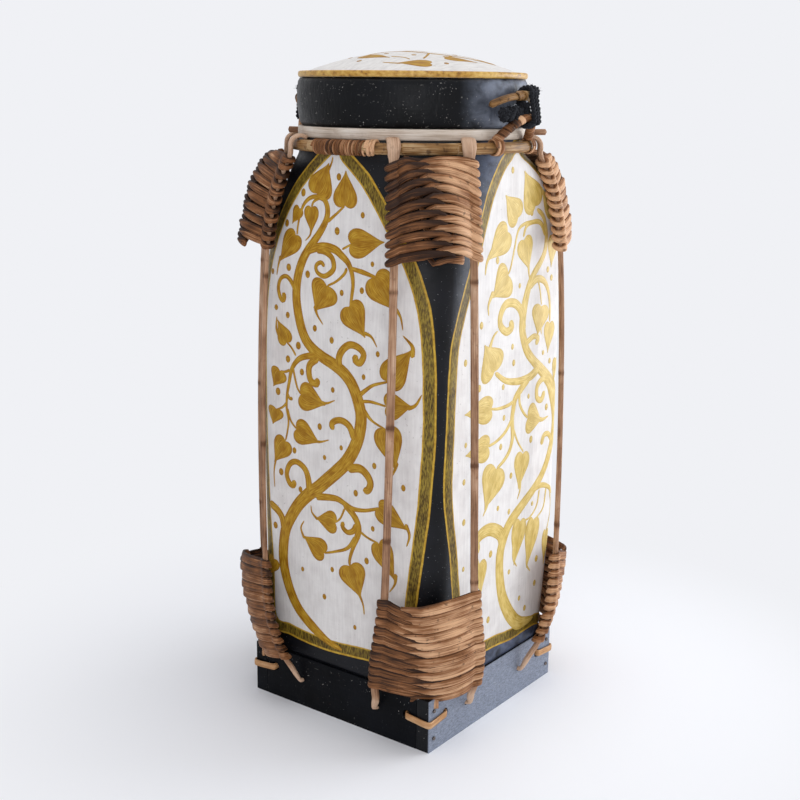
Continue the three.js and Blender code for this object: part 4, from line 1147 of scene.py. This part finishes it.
hoop_path = ring_path(HOOP_RADIUS - 0.2, HOOP_HEIGHT, -75, 264, 420, 0.18, 5)
hoop = carry(hoop_path, UP, oval(7.0, 5.4, 16, 0.85), cane_scale(hoop_path, [60, 178, 301, 404], 0.05)
             * rounded_ends(hoop_path, 2.0), tint=0.5)
lap_path = ring_path(HOOP_RADIUS + 0.2, HOOP_HEIGHT + 0.2, -108, -70, 90, 0.1, 8)
lap = carry(lap_path, UP, oval(6.2, 6.2, 16, 0.85), cane_scale(lap_path, [43], 0.12)
            * rounded_ends(lap_path, 2.6), tint=0.8, shift=700)
facing_path = ring_path(HOOP_RADIUS + 1.9, HOOP_HEIGHT + 0.1, -58.5, -32.6, 80, 0.1, 9)
facing = carry(facing_path, UP, oval(6.9, 2.9, 16, 0.7), rounded_ends(facing_path, 2.4),
               tint=0.55, shift=1100)
make_piece("cane_hoop", [hoop, lap, facing], GOLDEN_CANE, "box", ["neck_hoop"])


def winding(centre, radius_in, radius_up, start, end, turns, width, thickness, seed, tone):
    """A strip wound round a hoop: a coil whose middle travels along the hoop."""
    count = int(turns * COIL_STEPS)
    step = np.arange(count)
    round_it = 2 * np.pi * step / COIL_STEPS
    random = np.random.default_rng(seed)
    places = np.arange(0, count + COIL_STEPS, COIL_STEPS // 2)
    wobble = uneven(random, step, places, 0.12)
    azimuth = np.radians(np.linspace(start, end, count)) + uneven(random, step, places, 0.002)
    r = HOOP_RADIUS + (radius_in + wobble) * np.cos(round_it)
    z = centre + (radius_up + wobble) * np.sin(round_it)
    path = np.stack([r * np.cos(azimuth), r * np.sin(azimuth), z], 1)
    first = np.stack([-np.sin(azimuth), np.cos(azimuth), azimuth * 0], 1)
    tint = tone + uneven(random, step, places, 0.16)
    return carry(path, -first, oval(width, thickness, 8, 0.8), tint=tint, shift=seed * 47.0)


# height, radii inwards and upwards, first and last azimuth, turns, width, thickness, seed and tone
lap_strip = winding(HOOP_HEIGHT, 3.9, 4.2, -102.3, -74.5, 23, 1.5, 1.15, 3, 0.36)
stub_strip = winding(HOOP_HEIGHT + 0.2, 3.6, 3.9, -73.6, -70.2, 2.4, 2.3, 1.8, 11, 1.1)
tuck_strip = winding(HOOP_HEIGHT + 1.2, 3.9, 3.4, -71.6, -69.0, 1.6, 2.0, 1.6, 13, 1.2)
coils = [lap_strip, stub_strip, tuck_strip]
make_piece("lap_strip", coils, BROWN_RATTAN, "box", ["hoop_lap_winding"])

# %% [markdown]
# Two pegs of split bamboo go through the band into the collar and stop it from turning.
# %% Pegs
PEG_ROOT, PEG_HEIGHT = 62, 387.95
for azimuth, name, far in ((36.5, "right", 87.5), (216.5, "left", 80.5)):
    outward = outward_at(azimuth)
    path = outward * np.linspace(PEG_ROOT, far, 28)[:, None] + UP * PEG_HEIGHT
    ends = rounded_ends(path, 0.9)
    path[:, 2] += np.linspace(0, 0.5, len(path))
    peg = carry(path, np.cross(UP, outward), oval(3.4, 3.9, 12, 0.6), ends, tint=0.3)
    make_piece("peg_" + name, [peg], ROD_RATTAN, "box", ["band_peg_" + name])

# %% [markdown]
# Two rods of split cane stand beside each corner. They hook over the hoop, bow out past the body, turn in
# again and end in a hole in the base. The knots of the path are the frame's; a smooth curve through them
# gives the bend that steamed cane takes, and each rod swells a little at its joints.
# %% Corner rods
BASE_HALF = 75
CORNER_REACH = BASE_HALF * math.sqrt(2)
ROD_WIDE, ROD_DEEP = 5.0, 3.4
ROD_SPREAD, ROD_BOW, ROD_FLARE = 22.6, 22.6, 3.8
HOLE_HEIGHT, HOLE_INSET = 19.0, 42.5
# each knot: shares of the height from hole to hoop, of the bow and of the flare
ROD_RUN = np.array([
    (0.983, 0.04, 0), (0.961, 0.2, 0), (0.931, 0.39, 0), (0.897, 0.54, 0), (0.856, 0.665, 0),
    (0.809, 0.757, 0), (0.695, 0.873, 0), (0.571, 0.95, 0), (0.446, 1, 0), (0.335, 1.02, 0),
    (0.252, 1.02, 0.05), (0.21, 1.01, 0.2), (0.169, 0.985, 0.6), (0.127, 0.9, 1), (0.086, 0.73, 1),
    (0.055, 0.535, 0.85), (0.028, 0.3, 0.45),
])
HOOK_RADIUS = HOOP_THICK / 2 + 0.3 + ROD_DEEP / 2
HOOP_OUT = math.sqrt((HOOP_RADIUS + HOOK_RADIUS) ** 2 - ROD_SPREAD**2)
HOLE_X = CORNER_REACH - HOLE_INSET / math.sqrt(2)
HOLE_Y = HOLE_INSET / math.sqrt(2)
CORNERS = [("front_right", -45, "front", "right"), ("back_right", 45, "right", "back"),
           ("back_left", 135, "back", "left"), ("front_left", -135, "left", "front")]


def face_point(side, along, off, height):
    """Corner frame: x runs out along the diagonal, y sideways. A point beside the corner, off the face."""
    return (CORNER_REACH - (along - off) / math.sqrt(2), side * (along + off) / math.sqrt(2), height)


ROD_KNOTS = np.stack([
    HOLE_X + (HOOP_OUT - HOLE_X) * ROD_RUN[:, 0] + ROD_BOW * ROD_RUN[:, 1],
    HOLE_Y + (ROD_SPREAD - HOLE_Y) * ROD_RUN[:, 0] + ROD_FLARE * ROD_RUN[:, 2],
    HOLE_HEIGHT + (HOOP_HEIGHT - HOLE_HEIGHT) * ROD_RUN[:, 0],
], 1)


def rod_at(height):
    """Where a rod is at a height, as the point between its knots."""
    order = ROD_KNOTS[::-1]
    return np.interp(height, order[:, 2], order[:, 0]), np.interp(height, order[:, 2], order[:, 1])


def rod_strand(side, seed):
    """An oval carried down the rod: a part circle over the hoop, the frame's knots, and the turn into the
    hole. It is widest over the hoop, and tapers at the foot."""
    hook = []
    for share in (1.5, 1.12, 0.8, 0.5, 0.22, 0):
        off, up = math.cos(share * math.pi / 2), math.sin(share * math.pi / 2)
        out = math.sqrt((HOOP_RADIUS + (HOOK_RADIUS + 0.5) * off) ** 2 - ROD_SPREAD**2)
        hook.append((out, side * ROD_SPREAD, HOOP_HEIGHT + (HOOK_RADIUS + 0.5) * up))
    run = ROD_KNOTS * [1, side, 1]
    end = [face_point(side, HOLE_INSET, off, HOLE_HEIGHT + up)
           for off, up in ((2.55, 1.4), (0, 0.2), (-4, 0), (-7, 0))]
    knots = np.concatenate([hook, run, end])
    count = 340
    path = smooth_path(knots, count)
    far = lengths(path)
    random = np.random.default_rng(seed)
    joints = np.cumsum(random.uniform(70, 115, 5))
    creases = uneven(random, far, np.arange(0, 30, 2.2), 0.1)
    creases = creases * np.interp(far, [0, 20, 26], [1, 1, 0])
    tail = [far[-1] - 16, far[-1] - 9, far[-1]]
    wide = np.interp(far, [0, 8, 15, 24, *tail], [1.3, 1.75, 1.65, 1, 1, 0.66, 0.62]) + creases
    deep = np.interp(far, [0, 8, 15, 24, *tail], [0.8, 0.8, 0.9, 1, 1, 0.66, 0.62]) - creases * 0.6
    scale = cane_scale(path, joints, 0.09) * (1 + 0.02 * np.sin(far / 23 + seed))
    section = oval(ROD_WIDE, ROD_DEEP, 14, 0.75)[None] * np.stack([wide, deep], 1)[:, None]
    tint = 0.5 + 0.12 * np.sin(far / 61 + seed) - 0.5 * (cane_scale(path, joints, 1) - 1)
    tint = tint + np.interp(far, [0, 14, 26, far[-1] - 26, *tail], [0.35, 0.3, 0, 0, 0.5, 0.55, 0.6])
    return carry(path, np.array([0, 1.0, 0]), section, scale, tint=tint, shift=seed * 91.0)


for index, (name, azimuth, before, after) in enumerate(CORNERS):
    for side, face in ((-1, before), (1, after)):
        strand = turned(rod_strand(side, index * 2 + (side > 0)), azimuth)
        node = f"rod_{name}_{face}"
        make_piece("cane_" + name + "_" + face, [strand], ROD_RATTAN, "box", [node])

# %% [markdown]
# A lashing is one split strip wound as a figure of eight: from the middle out over one rod, back behind it,
# through the middle and out over the other. It comes up from under the turn below, twists to bring its face
# out, and lies over the end of the turn before, which makes a plait down the ridge. Its tint carries painted
# light and shade: lighter on the passes turned towards the window and darker on those turned away, with
# painted shade under each turn's upper edge and a painted highlight on its lower one.
# %% Corner lashings
STEPS_A_TURN = 84
NOSE_PINCH_REACH = 12.0
ACROSS_POWER = 0.75


def signed_power(value, power):
    return np.sign(value) * np.abs(value) ** power


def lashing_strand(top, length, laps, nose, pinch, crowns, tilts, rise, lead, width, thickness, ridge_pinch,
                   tuck, twist, painted_light_tones, seed):
    """In plan the strip goes across as a sine, on a bulge in the middle, and dives behind each rod. Each
    pass is reckoned from the ridge: -1 behind the other rod, 0 on the ridge, 1 round its own rod."""
    pitch = length / (laps + 1)
    count = int(laps * STEPS_A_TURN) + 1
    turns = np.arange(count) / STEPS_A_TURN
    phase = 2 * np.pi * turns - 0.3
    random = np.random.default_rng(seed)
    halves = np.arange(0, laps + 1, 0.5)
    sway = uneven(random, turns, halves, 0.3)
    drift = np.interp(turns, [0, laps], [-8.0, 5.0])
    loose = np.interp(turns, halves, random.uniform(-0.9, 0.9, len(halves)))
    level = top - pitch * (0.5 + turns) + sway

    passed = np.mod(phase + np.pi / 2, np.pi) - np.pi / 2
    hand = np.where(np.cos(phase) > 0, 1.0, -1.0)
    lead = np.where(hand > 0, lead[0], lead[1])
    outer = np.clip((passed + lead) / (np.pi / 2 + lead), 0, 1)
    inner = np.clip((passed + np.pi / 2) / (np.pi / 2 - lead), 0, 1)
    lobe = np.where(passed > -lead, np.sin(np.pi * outer) ** 0.7, -np.sin(np.pi * inner) ** 0.7)
    dip = rise * np.exp(-np.clip((passed + lead) / 0.3, 0, 9) ** 1.5) * np.cos(passed) ** 2
    crown = np.interp(turns, np.arange(len(crowns)), crowns)
    across = signed_power(np.sin(phase), ACROSS_POWER)
    leaning = np.where(across < 0, tilts[0], tilts[1]) * np.abs(across)
    height = level + crown * (1 - np.abs(across) ** 1.25) + leaning - np.where(lobe > 0, dip, 0)

    rod_x, rod_y = rod_at(height)
    widest = rod_y + ROD_WIDE / 2 + thickness / 2 + 0.1
    bulge = np.maximum(0, 1 - (across * widest / (rod_y - ROD_WIDE / 2)) ** 2)
    nose_share = 1 - pinch * np.exp(-(top - level) / NOSE_PINCH_REACH)
    x = rod_x + (ROD_DEEP / 2 + 0.1 + thickness / 2) * lobe + (nose + loose) * nose_share * bulge
    path = np.stack([x, across * widest + drift * bulge, height], 1)
    above_x, _ = rod_at(height + 2)
    below_x, _ = rod_at(height - 2)
    slant = unit(np.stack([above_x - below_x, x * 0, x * 0 + 4], 1))

    outside = np.clip(lobe, 0, 1)
    broad = width * (1 - ridge_pinch * (1 - outside)) * (1 + uneven(random, turns, halves, 0.05))
    section = oval(1.0, 1.0, 14, 0.8)[None] * np.stack([broad, broad * 0 + thickness], 1)[:, None]
    turned_in = np.where(lobe > 0, 1 - np.clip((passed + lead) / 0.55, 0, 1), inner)
    turned_in = turned_in * turned_in * (3 - 2 * turned_in)
    angle = hand * (twist * turned_in - tuck * outside * (0.4 + 0.6 * bulge) * (1 - turned_in))
    # painted light and shade: each pass takes its corner's lit or shaded tint, and painted shade darkens the
    # strip where it twists under its neighbour at the ridge
    back = np.where(hand > 0, painted_light_tones[0], painted_light_tones[1])
    tint = back + uneven(random, turns, halves, 0.1) - 0.15 * turned_in
    # painted shade along each turn's upper edge, under the turn above, and a painted highlight along its
    # lower edge
    upward = np.cos(np.linspace(0, 2 * np.pi, 14, endpoint=False))
    tint = tint[:, None] - 0.55 * np.clip(upward - 0.25, 0, 1) + 0.14 * np.clip(-upward - 0.2, 0, 1)
    return carry(path, slant, section, tint=tint, shift=seed * 57.0, twist=angle)


def loose_end(foot):
    """The last of the strip, which comes out from under the lowest turn and hangs straight down."""
    out, _ = rod_at(LOWER["top"] - LOWER["length"])
    out = out + LOWER["nose"] + 2.2
    knots = [(out - 4, 3, foot + 34), (out - 1.6, 3.4, foot + 28), (out, 3.6, foot + 23),
             (out + 0.3, 3.6, foot + 18)]
    path = smooth_path(np.array(knots), 24)
    return carry(path, np.array([0, 1.0, 0]), strip_section(6.2, 1.6, 0.5), tint=0.75)


# turns from the top: how far the ridge stands above the rods
UPPER_CROWNS = [3, 8, 11, 12.5, 12.5, 12, 11.5, 11, 10.5, 10, 9.5, 9]
UPPER = {
    "top": 375.5, "length": 65.5, "laps": 11.1, "nose": 14, "pinch": 0.75, "rise": 4.5, "lead": (0.16, 0.16),
    "width": 5.7, "thickness": 3.1, "ridge_pinch": 0.42, "tuck": math.radians(9), "twist": math.radians(60),
}
LOWER = {
    "top": 110.0, "length": 74, "laps": 11.6, "nose": 12, "pinch": 0, "rise": 2.5, "lead": (0.42, 0.10),
    "width": 6.6, "thickness": 2.0, "ridge_pinch": 0.25, "tuck": math.radians(27), "twist": math.radians(40),
}
# the strip's tint on its two passes, one each side of the ridge, by corner: painted light where the pass
# faces the window, painted shade where it faces away
PAINTED_LIGHT_TONES = {
    ("upper", "front_right"): (0.78, 0.18), ("lower", "front_right"): (0.7, 0.28),
    ("upper", "back_right"): (0.95, 0.85), ("lower", "back_right"): (0.75, 0.65),
    ("upper", "back_left"): (0.5, 0.3), ("lower", "back_left"): (0.5, 0.3),
    ("upper", "front_left"): (0.42, 0.26), ("lower", "front_left"): (0.45, 0.3),
}
# by corner: how far the lower lashing hangs at either rod, the share of the nose's reach at both levels, and
# how low the lower lashing's ridge lies
LOWER_TILTS = {"front_right": (0, 0), "back_right": (0, -10), "back_left": (-4, 0), "front_left": (-12, 0)}
NOSE_SHARES = {"front_right": 1, "back_right": 0.8, "back_left": 0.9, "front_left": 1.1}
LOWER_CROWNS = {"front_right": -5.0, "back_right": -7.0, "back_left": -3.0, "front_left": -9.0}
for index, (name, azimuth, before, after) in enumerate(CORNERS):
    for level, sizes in (("upper", UPPER), ("lower", LOWER)):
        own = {
            "nose": sizes["nose"] * NOSE_SHARES[name],
            "crowns": UPPER_CROWNS if level == "upper" else [LOWER_CROWNS[name]] * 13,
            "tilts": LOWER_TILTS[name] if level == "lower" else (0, 0),
            "painted_light_tones": PAINTED_LIGHT_TONES[level, name],
            "seed": 20 + index * 2 + (level == "lower"),
        }
        strand = lashing_strand(**{**sizes, **own})
        strands = [strand] if level == "upper" else [strand, loose_end(14 + LOWER_CROWNS[name] * 0.5)]
        strands = [turned(s, azimuth) for s in strands]
        piece_name = f"{level}_lashing_{name}"
        make_piece(piece_name, strands, BROWN_RATTAN, "box", [f"lashing_{level}_{name}"])

# %% [markdown]
# At each corner of the base a flat strap goes from a hole in one board round the corner to a hole in the
# next, and sags a little at the corner where it bends.
# %% Corner stitches
def stitch_strand(seed):
    """A flat strip from one hole round the corner to the other. Its knots are given for one side, as the
    distance from the corner, the distance off the face and the height, and mirrored for the other."""
    half = [(18, -6, 22), (18, -1.5, 22.2), (17.6, 0.7, 22), (16, 1.1, 21.6), (10, 1.0, 20.9), (4, 1.1, 20.4)]
    knots = [face_point(-1, *k) for k in half] + [(CORNER_REACH + 1.0, 0, 20.3)]
    knots += [face_point(1, *k) for k in half[::-1]]
    path = smooth_path(knots, 110)
    return carry(path, UP, strip_section(4.5, 0.8, 0.35), tint=0.5, shift=seed * 40.0)


for index, (name, azimuth, before, after) in enumerate(CORNERS):
    strand = turned(stitch_strand(index), azimuth)
    make_piece("strap_" + name, [strand], PALE_RATTAN, "box", ["stitch_" + name])

# %% [markdown]
# The lid is a low drum with a swelling side, black like the boards, under a white painted dome. A gold
# painted hoop covers the joint between them.
# %% Lid side, rim and dome
LID_FOOT, LID_TALL, LID_WALL = 391.6, 29.4, 2.4
LID_RADIUS, LID_LEAN, LID_BELLY = 71.9, 1.3, 1.6
DOME_FOOT, DOME_RISE, DOME_EDGE = 424.0, 14.1, 70.4


def lid_side_profile():
    """The outer line leans out and swells by a parabola, with eased edges. The inner one is parallel."""
    share = np.linspace(0, 1, 15)
    out = LID_RADIUS + LID_LEAN * share + LID_BELLY * 4 * share * (1 - share)
    height = LID_FOOT + LID_TALL * share
    ease = 0.9 * (np.exp(-(share / 0.035) ** 2) + np.exp(-((1 - share) / 0.035) ** 2))
    outer = np.stack([out - ease, height], 1)
    inner = np.stack([out - LID_WALL, height], 1)[::-1]
    return np.concatenate([outer, inner])


lid_side = turned_strand(lid_side_profile(), 0.12, 9)
make_piece("lid_side", [lid_side], LID_LACQUER, "lid", ["lid_wall"])


def white_dome():
    material, shader = start_finish("painted_lid", Specular_IOR_Level=0.4)
    place = place_in_mm(material)
    brushed = noise(material, place, 0.4, 5, (1.0, 0.2, 1.0))
    chalk = ramp(material, brushed, [(0.3, shade(214, 210, 206)), (0.65, shade(234, 231, 227))])
    marks = times(material, step_at(material, noise(material, place, 0.4, 3), 0.68, 0.02), 0.35)
    chalk = blend_colours(material, marks, chalk, shade(160, 150, 140))
    rough = ramp(material, brushed, [(0.3, 0.5), (0.7, 0.62)])
    plug(material, shader, Base_Color=chalk, Roughness=rough, Normal=bump(material, brushed, 0.15, 0.5))
    return material


def dome_strand():
    """The lid's top, turned: a flat flange on the wall, and a dome whose height falls as the square of the
    distance from the middle. The underside follows it, a wall's thickness lower."""
    share = np.linspace(1, 0.004, 30)
    outer = np.stack([DOME_EDGE * share, DOME_FOOT + DOME_RISE * (1 - share**2)], 1)
    under = np.stack([(DOME_EDGE - LID_WALL) * share, outer[:, 1] - LID_WALL], 1)[::-1]
    under[-1, 1] = 421.3
    profile = np.concatenate([[(72.9, 421.4), (72.9, 422.4)], outer, under])
    return turned_strand(profile, 0.0, 0, 144)


DOME_WHITE = white_dome()
make_piece("lid_dome", [dome_strand()], DOME_WHITE, "lid", ["lid_top"])


def rim_gold():
    material, shader = start_finish("rim_gold", Specular_IOR_Level=0.5)
    place = place_in_mm(material)
    worn = noise(material, place, 0.35, 5, (1, 1, 1.4))
    patches = noise(material, place, 0.05, 3)
    mixed = mix_of(material, worn, patches, 0.6)
    tone = ramp(material, mixed, [
        (0.34, shade(110, 66, 20)), (0.44, shade(182, 134, 46)), (0.62, shade(218, 180, 98)),
    ])
    plug(material, shader, Base_Color=tone, Roughness=ramp(material, worn, [(0.3, 0.35), (0.7, 0.5)]),
         Normal=bump(material, worn, 0.3, 0.6))
    return material


rim = turned_strand(soft_oblong(70.6, 73.6, 421.3, 425.2, 1.2, 0.1), 0.1, 12)
make_piece("gold_rim", [rim], rim_gold(), "lid", ["lid_rim"])

# %% [markdown]
# A spray of leaves is painted on the dome too, in the same gold as the front. The same strokes are used, on a
# surface function that gives a point of the dome for a place in plan.
# %% The vine on the dome
def on_dome(x, y, lift):
    """A point of the dome above a place in plan."""
    return np.stack([x, y, DOME_FOOT + DOME_RISE * (1 - (x**2 + y**2) / DOME_EDGE**2) + lift], -1)


DOME_STEMS = [
    ([(-52, 12), (-34, 6), (-16, -6), (4, -14), (24, -12), (40, 2), (48, 20)], [3.2, 3, 2.8, 2.4, 1.8]),
    ([(22, -13), (27, -22), (31, -31)], [2, 1.4]), ([(-10, -9), (-12, -24), (-11, -38)], [2.2, 1.4]),
    ([(34, -5), (36, -12), (38, -15)], [2, 1.4]), ([(-30, 4), (-36, -12), (-46, -22)], [2, 1.2]),
    ([(0, -13), (6, 6), (2, 24), (-10, 34)], [2.4, 2, 1.4]), ([(-24, 2), (-28, 20), (-24, 34)], [2, 1.2]),
    ([(15, -51), (21, -50), (27, -48)], [0.8, 1.8, 2.4]), ([(6, 8), (18, 16), (28, 20)], [1.6, 1.2]),
    ([(11, -37), (20, -36), (26, -38)], [1.6, 0.9]),
]
DOME_LEAVES = [
    ((40, -37), (24, -49), 15), ((-12, -36), (12, -40), 13), ((37, -16), (51, -2), 13),
    ((-44, -21), (-56, -38), 14), ((-10, 33), (-4, 54), 17), ((-24, 33), (-42, 48), 16),
    ((28, 20), (40, 40), 16), ((48, 19), (44, 4), 10),
]
DOME_DOTS = [(0, -28), (-24, -34), (20, -26), (-40, 24), (10, 36), (30, 4), (-4, -50), (46, -28), (-14, 16)]
strands = [stroke(on_dome, knots, widths) for knots, widths in DOME_STEMS]
for base, tip, width in DOME_LEAVES:
    strands += leaf(on_dome, base, tip, width)
strands += [dot(on_dome, place, 1.8, 1.0) for place in DOME_DOTS]
make_piece("vine_dome", strands, GOLD, "lid", outward=False)

# %% [markdown]
# On each side an arch of rattan stands on the hoop, and a smaller one springs from the lid above it. Both
# are canes bound with strip. Each binding is a short coil round the arch, laid on in rings.
# %% Ears
# each arch: radius and height of its feet, how far it leans out and rises, and half its span in degrees
ARCHES = {"body": (77.5, 385.35, 7, 12.7, 14.5), "lid": (76.1, 405.4, 5.2, 6, 19)}


def arch_path(kind, count):
    """The frame's arch: azimuth runs evenly, and the height and reach rise and fall along it."""
    radius, height, lean, rise, span = ARCHES[kind]
    share = np.linspace(-1, 1, count)
    climb = np.cos(share * np.pi / 2) if kind == "body" else np.clip(1 - share**2, 0, 1) ** 0.75
    radius = radius + lean * (climb if kind == "body" else climb**0.5)
    height = height + rise * climb
    azimuth = np.radians(share * span)
    return np.stack([radius * np.cos(azimuth), radius * np.sin(azimuth), height], 1)


def bound(path, radius, start, end, turns, width, seed, thickness=0.9):
    """A strip wound round a path between two shares of its length."""
    steps = 20
    count = int(turns * steps)
    share = np.linspace(start, end, count)
    far = lengths(path) / lengths(path)[-1]
    middle = np.stack([np.interp(share, far, path[:, k]) for k in range(3)], 1)
    along = headings(middle)
    first = unit(UP - along * np.sum(UP * along, 1, keepdims=True))
    second = np.cross(along, first)
    angle = 2 * np.pi * np.arange(count) / steps
    out = first * np.cos(angle)[:, None] + second * np.sin(angle)[:, None]
    random = np.random.default_rng(seed)
    places = np.arange(0, count + steps, steps)
    tint = 0.5 + uneven(random, np.arange(count), places, 0.25)
    return carry(middle + out * radius, along, oval(width, thickness, 10, 0.6), tint=tint, shift=seed * 31.0)


EAR_AZIMUTHS = ((2.5, "right"), (182.5, "left"))
for azimuth, side in EAR_AZIMUTHS:
    body_arch = arch_path("body", 90)
    lid_arch = arch_path("lid", 80)
    seed = int(azimuth)
    core = carry(body_arch, UP, oval(4.9, 4.9, 14), rounded_ends(body_arch, 1.5), tint=0.3)
    legs = [bound(body_arch, 2.55, start, end, 5, 4.0, seed + k)
            for k, (start, end) in enumerate([(0, 0.44), (0.58, 1)])]
    feet = [winding(HOOP_HEIGHT + 0.6, 4.4, 4.6, a, b, 2.5, 3.4, 1.1, seed + 4, 0.45)
            for a, b in ((-17, -12.5), (13.5, 17.5))]
    body_strands = [turned(s, azimuth) for s in [core, *legs, *feet]]
    make_piece("ear_body_" + side, body_strands, BROWN_RATTAN, "box", ["body_ear_" + side])
    core = carry(lid_arch, UP, oval(4.4, 4.2, 14), rounded_ends(lid_arch, 1.2), tint=0.35)
    ring = bound(lid_arch, 2.3, 0.38, 0.92, 4, 5.4, seed + 2, 1.2)
    lid_strands = [turned(s, azimuth) for s in [core, ring]]
    make_piece("ear_lid_" + side, lid_strands, GOLDEN_CANE, "lid", ["lid_ear_" + side])

# %% [markdown]
# A black cord ties each lid ear to the ear under it. The real one is soft cotton, twisted from two strands,
# looped several times and knotted beside the ears, with fluff standing off it. Each loop is two strands
# turning about one path, and each hair of fluff is a thin curved spike. The cord crosses the joint of the
# lid, and rides on neither body.
# %% Tie cords
def black_cord():
    material, shader = start_finish("black_cord", Roughness=0.92, Specular_IOR_Level=0.25)
    shader.inputs["Sheen Weight"].default_value = 0.25
    shader.inputs["Sheen Roughness"].default_value = 0.5
    shader.inputs["Sheen Tint"].default_value = shade(120, 126, 140)
    grain = grain_of(material)
    fuzz = noise(material, grain, 2.2, 5, (0.6, 1, 1))
    tone = ramp(material, fuzz, [(0.3, shade(8, 8, 10)), (0.7, shade(34, 35, 40))])
    plug(material, shader, Base_Color=tone, Normal=bump(material, fuzz, 0.5, 0.9))
    return material


def twisted(path, radius, strands, lay, closed, seed):
    """Strands that turn about a path, one full turn in each lay of its length, with a rough surface."""
    along = headings(path, closed)
    side = np.broadcast_to([0.3, 0.9, 0.3], path.shape)
    first = unit(side - along * np.sum(side * along, 1, keepdims=True))
    second = np.cross(along, first)
    far = lengths(path)
    total = far[-1] + np.linalg.norm(path[0] - path[-1]) if closed else far[-1]
    turns = max(1, round(total / lay))
    made = []
    for k in range(strands):
        angle = 2 * np.pi * (turns * far / total + k / strands)
        centre = path + radius * 0.52 * (first * np.cos(angle)[:, None] + second * np.sin(angle)[:, None])
        rough = np.random.default_rng(seed + k).uniform(0.88, 1.16, (len(path), 1, 1))
        section = oval(radius * 1.15, radius * 1.15, 10)[None] * rough
        made.append(carry(centre, first, section, closed=closed, tint=0.5, shift=seed * 13.0))
    return made


def fluff(paths, count, reach, seed):
    """Hairs that stand off some paths: each starts on a path and bends away, thinning to its tip."""
    random = np.random.default_rng(seed)
    stacked = np.concatenate(paths)
    hairs = []
    for start in stacked[random.integers(0, len(stacked), count)]:
        away = unit(random.normal(0, 1, 3))
        bend = unit(random.normal(0, 1, 3)) * 0.6
        share = np.linspace(0, 1, 5)[:, None]
        length = reach * random.uniform(0.6, 1.2)
        path = start + away * (0.8 + share * length) + bend * share**2 * length
        hairs.append(carry(path, np.array([0.2, 0.3, 0.9]), oval(0.26, 0.26, 4), np.linspace(1, 0.25, 5)))
    return hairs


CORD = black_cord()
body_top = arch_path("body", 3)[1]
lid_top = arch_path("lid", 3)[1]


def cord_loop(reach, lean, offset):
    """A long loop round both arches: two half circles joined by straight runs, leaning to one side."""
    angle = np.linspace(0, 2 * np.pi, 24, endpoint=False)
    upper = np.sin(angle) >= 0
    middle_x = np.where(upper, lid_top[0], body_top[0])
    middle_z = np.where(upper, lid_top[2], body_top[2])
    x = middle_x + reach * np.cos(angle)
    z = middle_z + reach * np.sin(angle)
    y = offset + lean * np.sin(angle)
    return smooth_path(np.stack([x, y, z], 1), 120, closed=True)


def knot_path(middle, size, seed):
    """A tangle: a closed curve through points that wander about an oblong room."""
    random = np.random.default_rng(seed)
    t = np.linspace(0, 2 * np.pi, 16, endpoint=False)
    lobes = np.stack([np.sin(2 * t + 0.4), np.sin(3 * t), np.cos(4 * t + 1.1)], 1)
    lobes = lobes + random.normal(0, 0.15, (16, 3))
    return smooth_path(np.array(middle) + np.multiply(size, lobes), 150, closed=True)


for azimuth, side in EAR_AZIMUTHS:
    loops = [cord_loop(4.9, 3.0, 2.2), cord_loop(5.1, 4.2, 5.2), cord_loop(4.7, 5.0, 8.4)]
    knots = [knot_path((80.8, -4.5, 399.2), (2.3, 5.6, 4.4), 3),
             knot_path((80.6, -10.0, 400.4), (2.1, 5.0, 3.8), 8),
             knot_path((79.2, -15.5, 400.0), (1.7, 4.4, 3.2), 11),
             knot_path((81.6, 3.0, 402.0), (2.4, 4.2, 4.6), 17)]
    strands = []
    for k, path in enumerate(loops + knots):
        strands += twisted(path, 1.55, 2, 5.0, True, 40 + 10 * k)
    strands += fluff(loops + knots, 620, 2.1, 5)
    strands = [turned(s, azimuth) for s in strands]
    piece = make_piece("cord_" + side, strands, CORD, None, ["tie_cord_" + side])
    outward = outward_at(azimuth)
    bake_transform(piece)
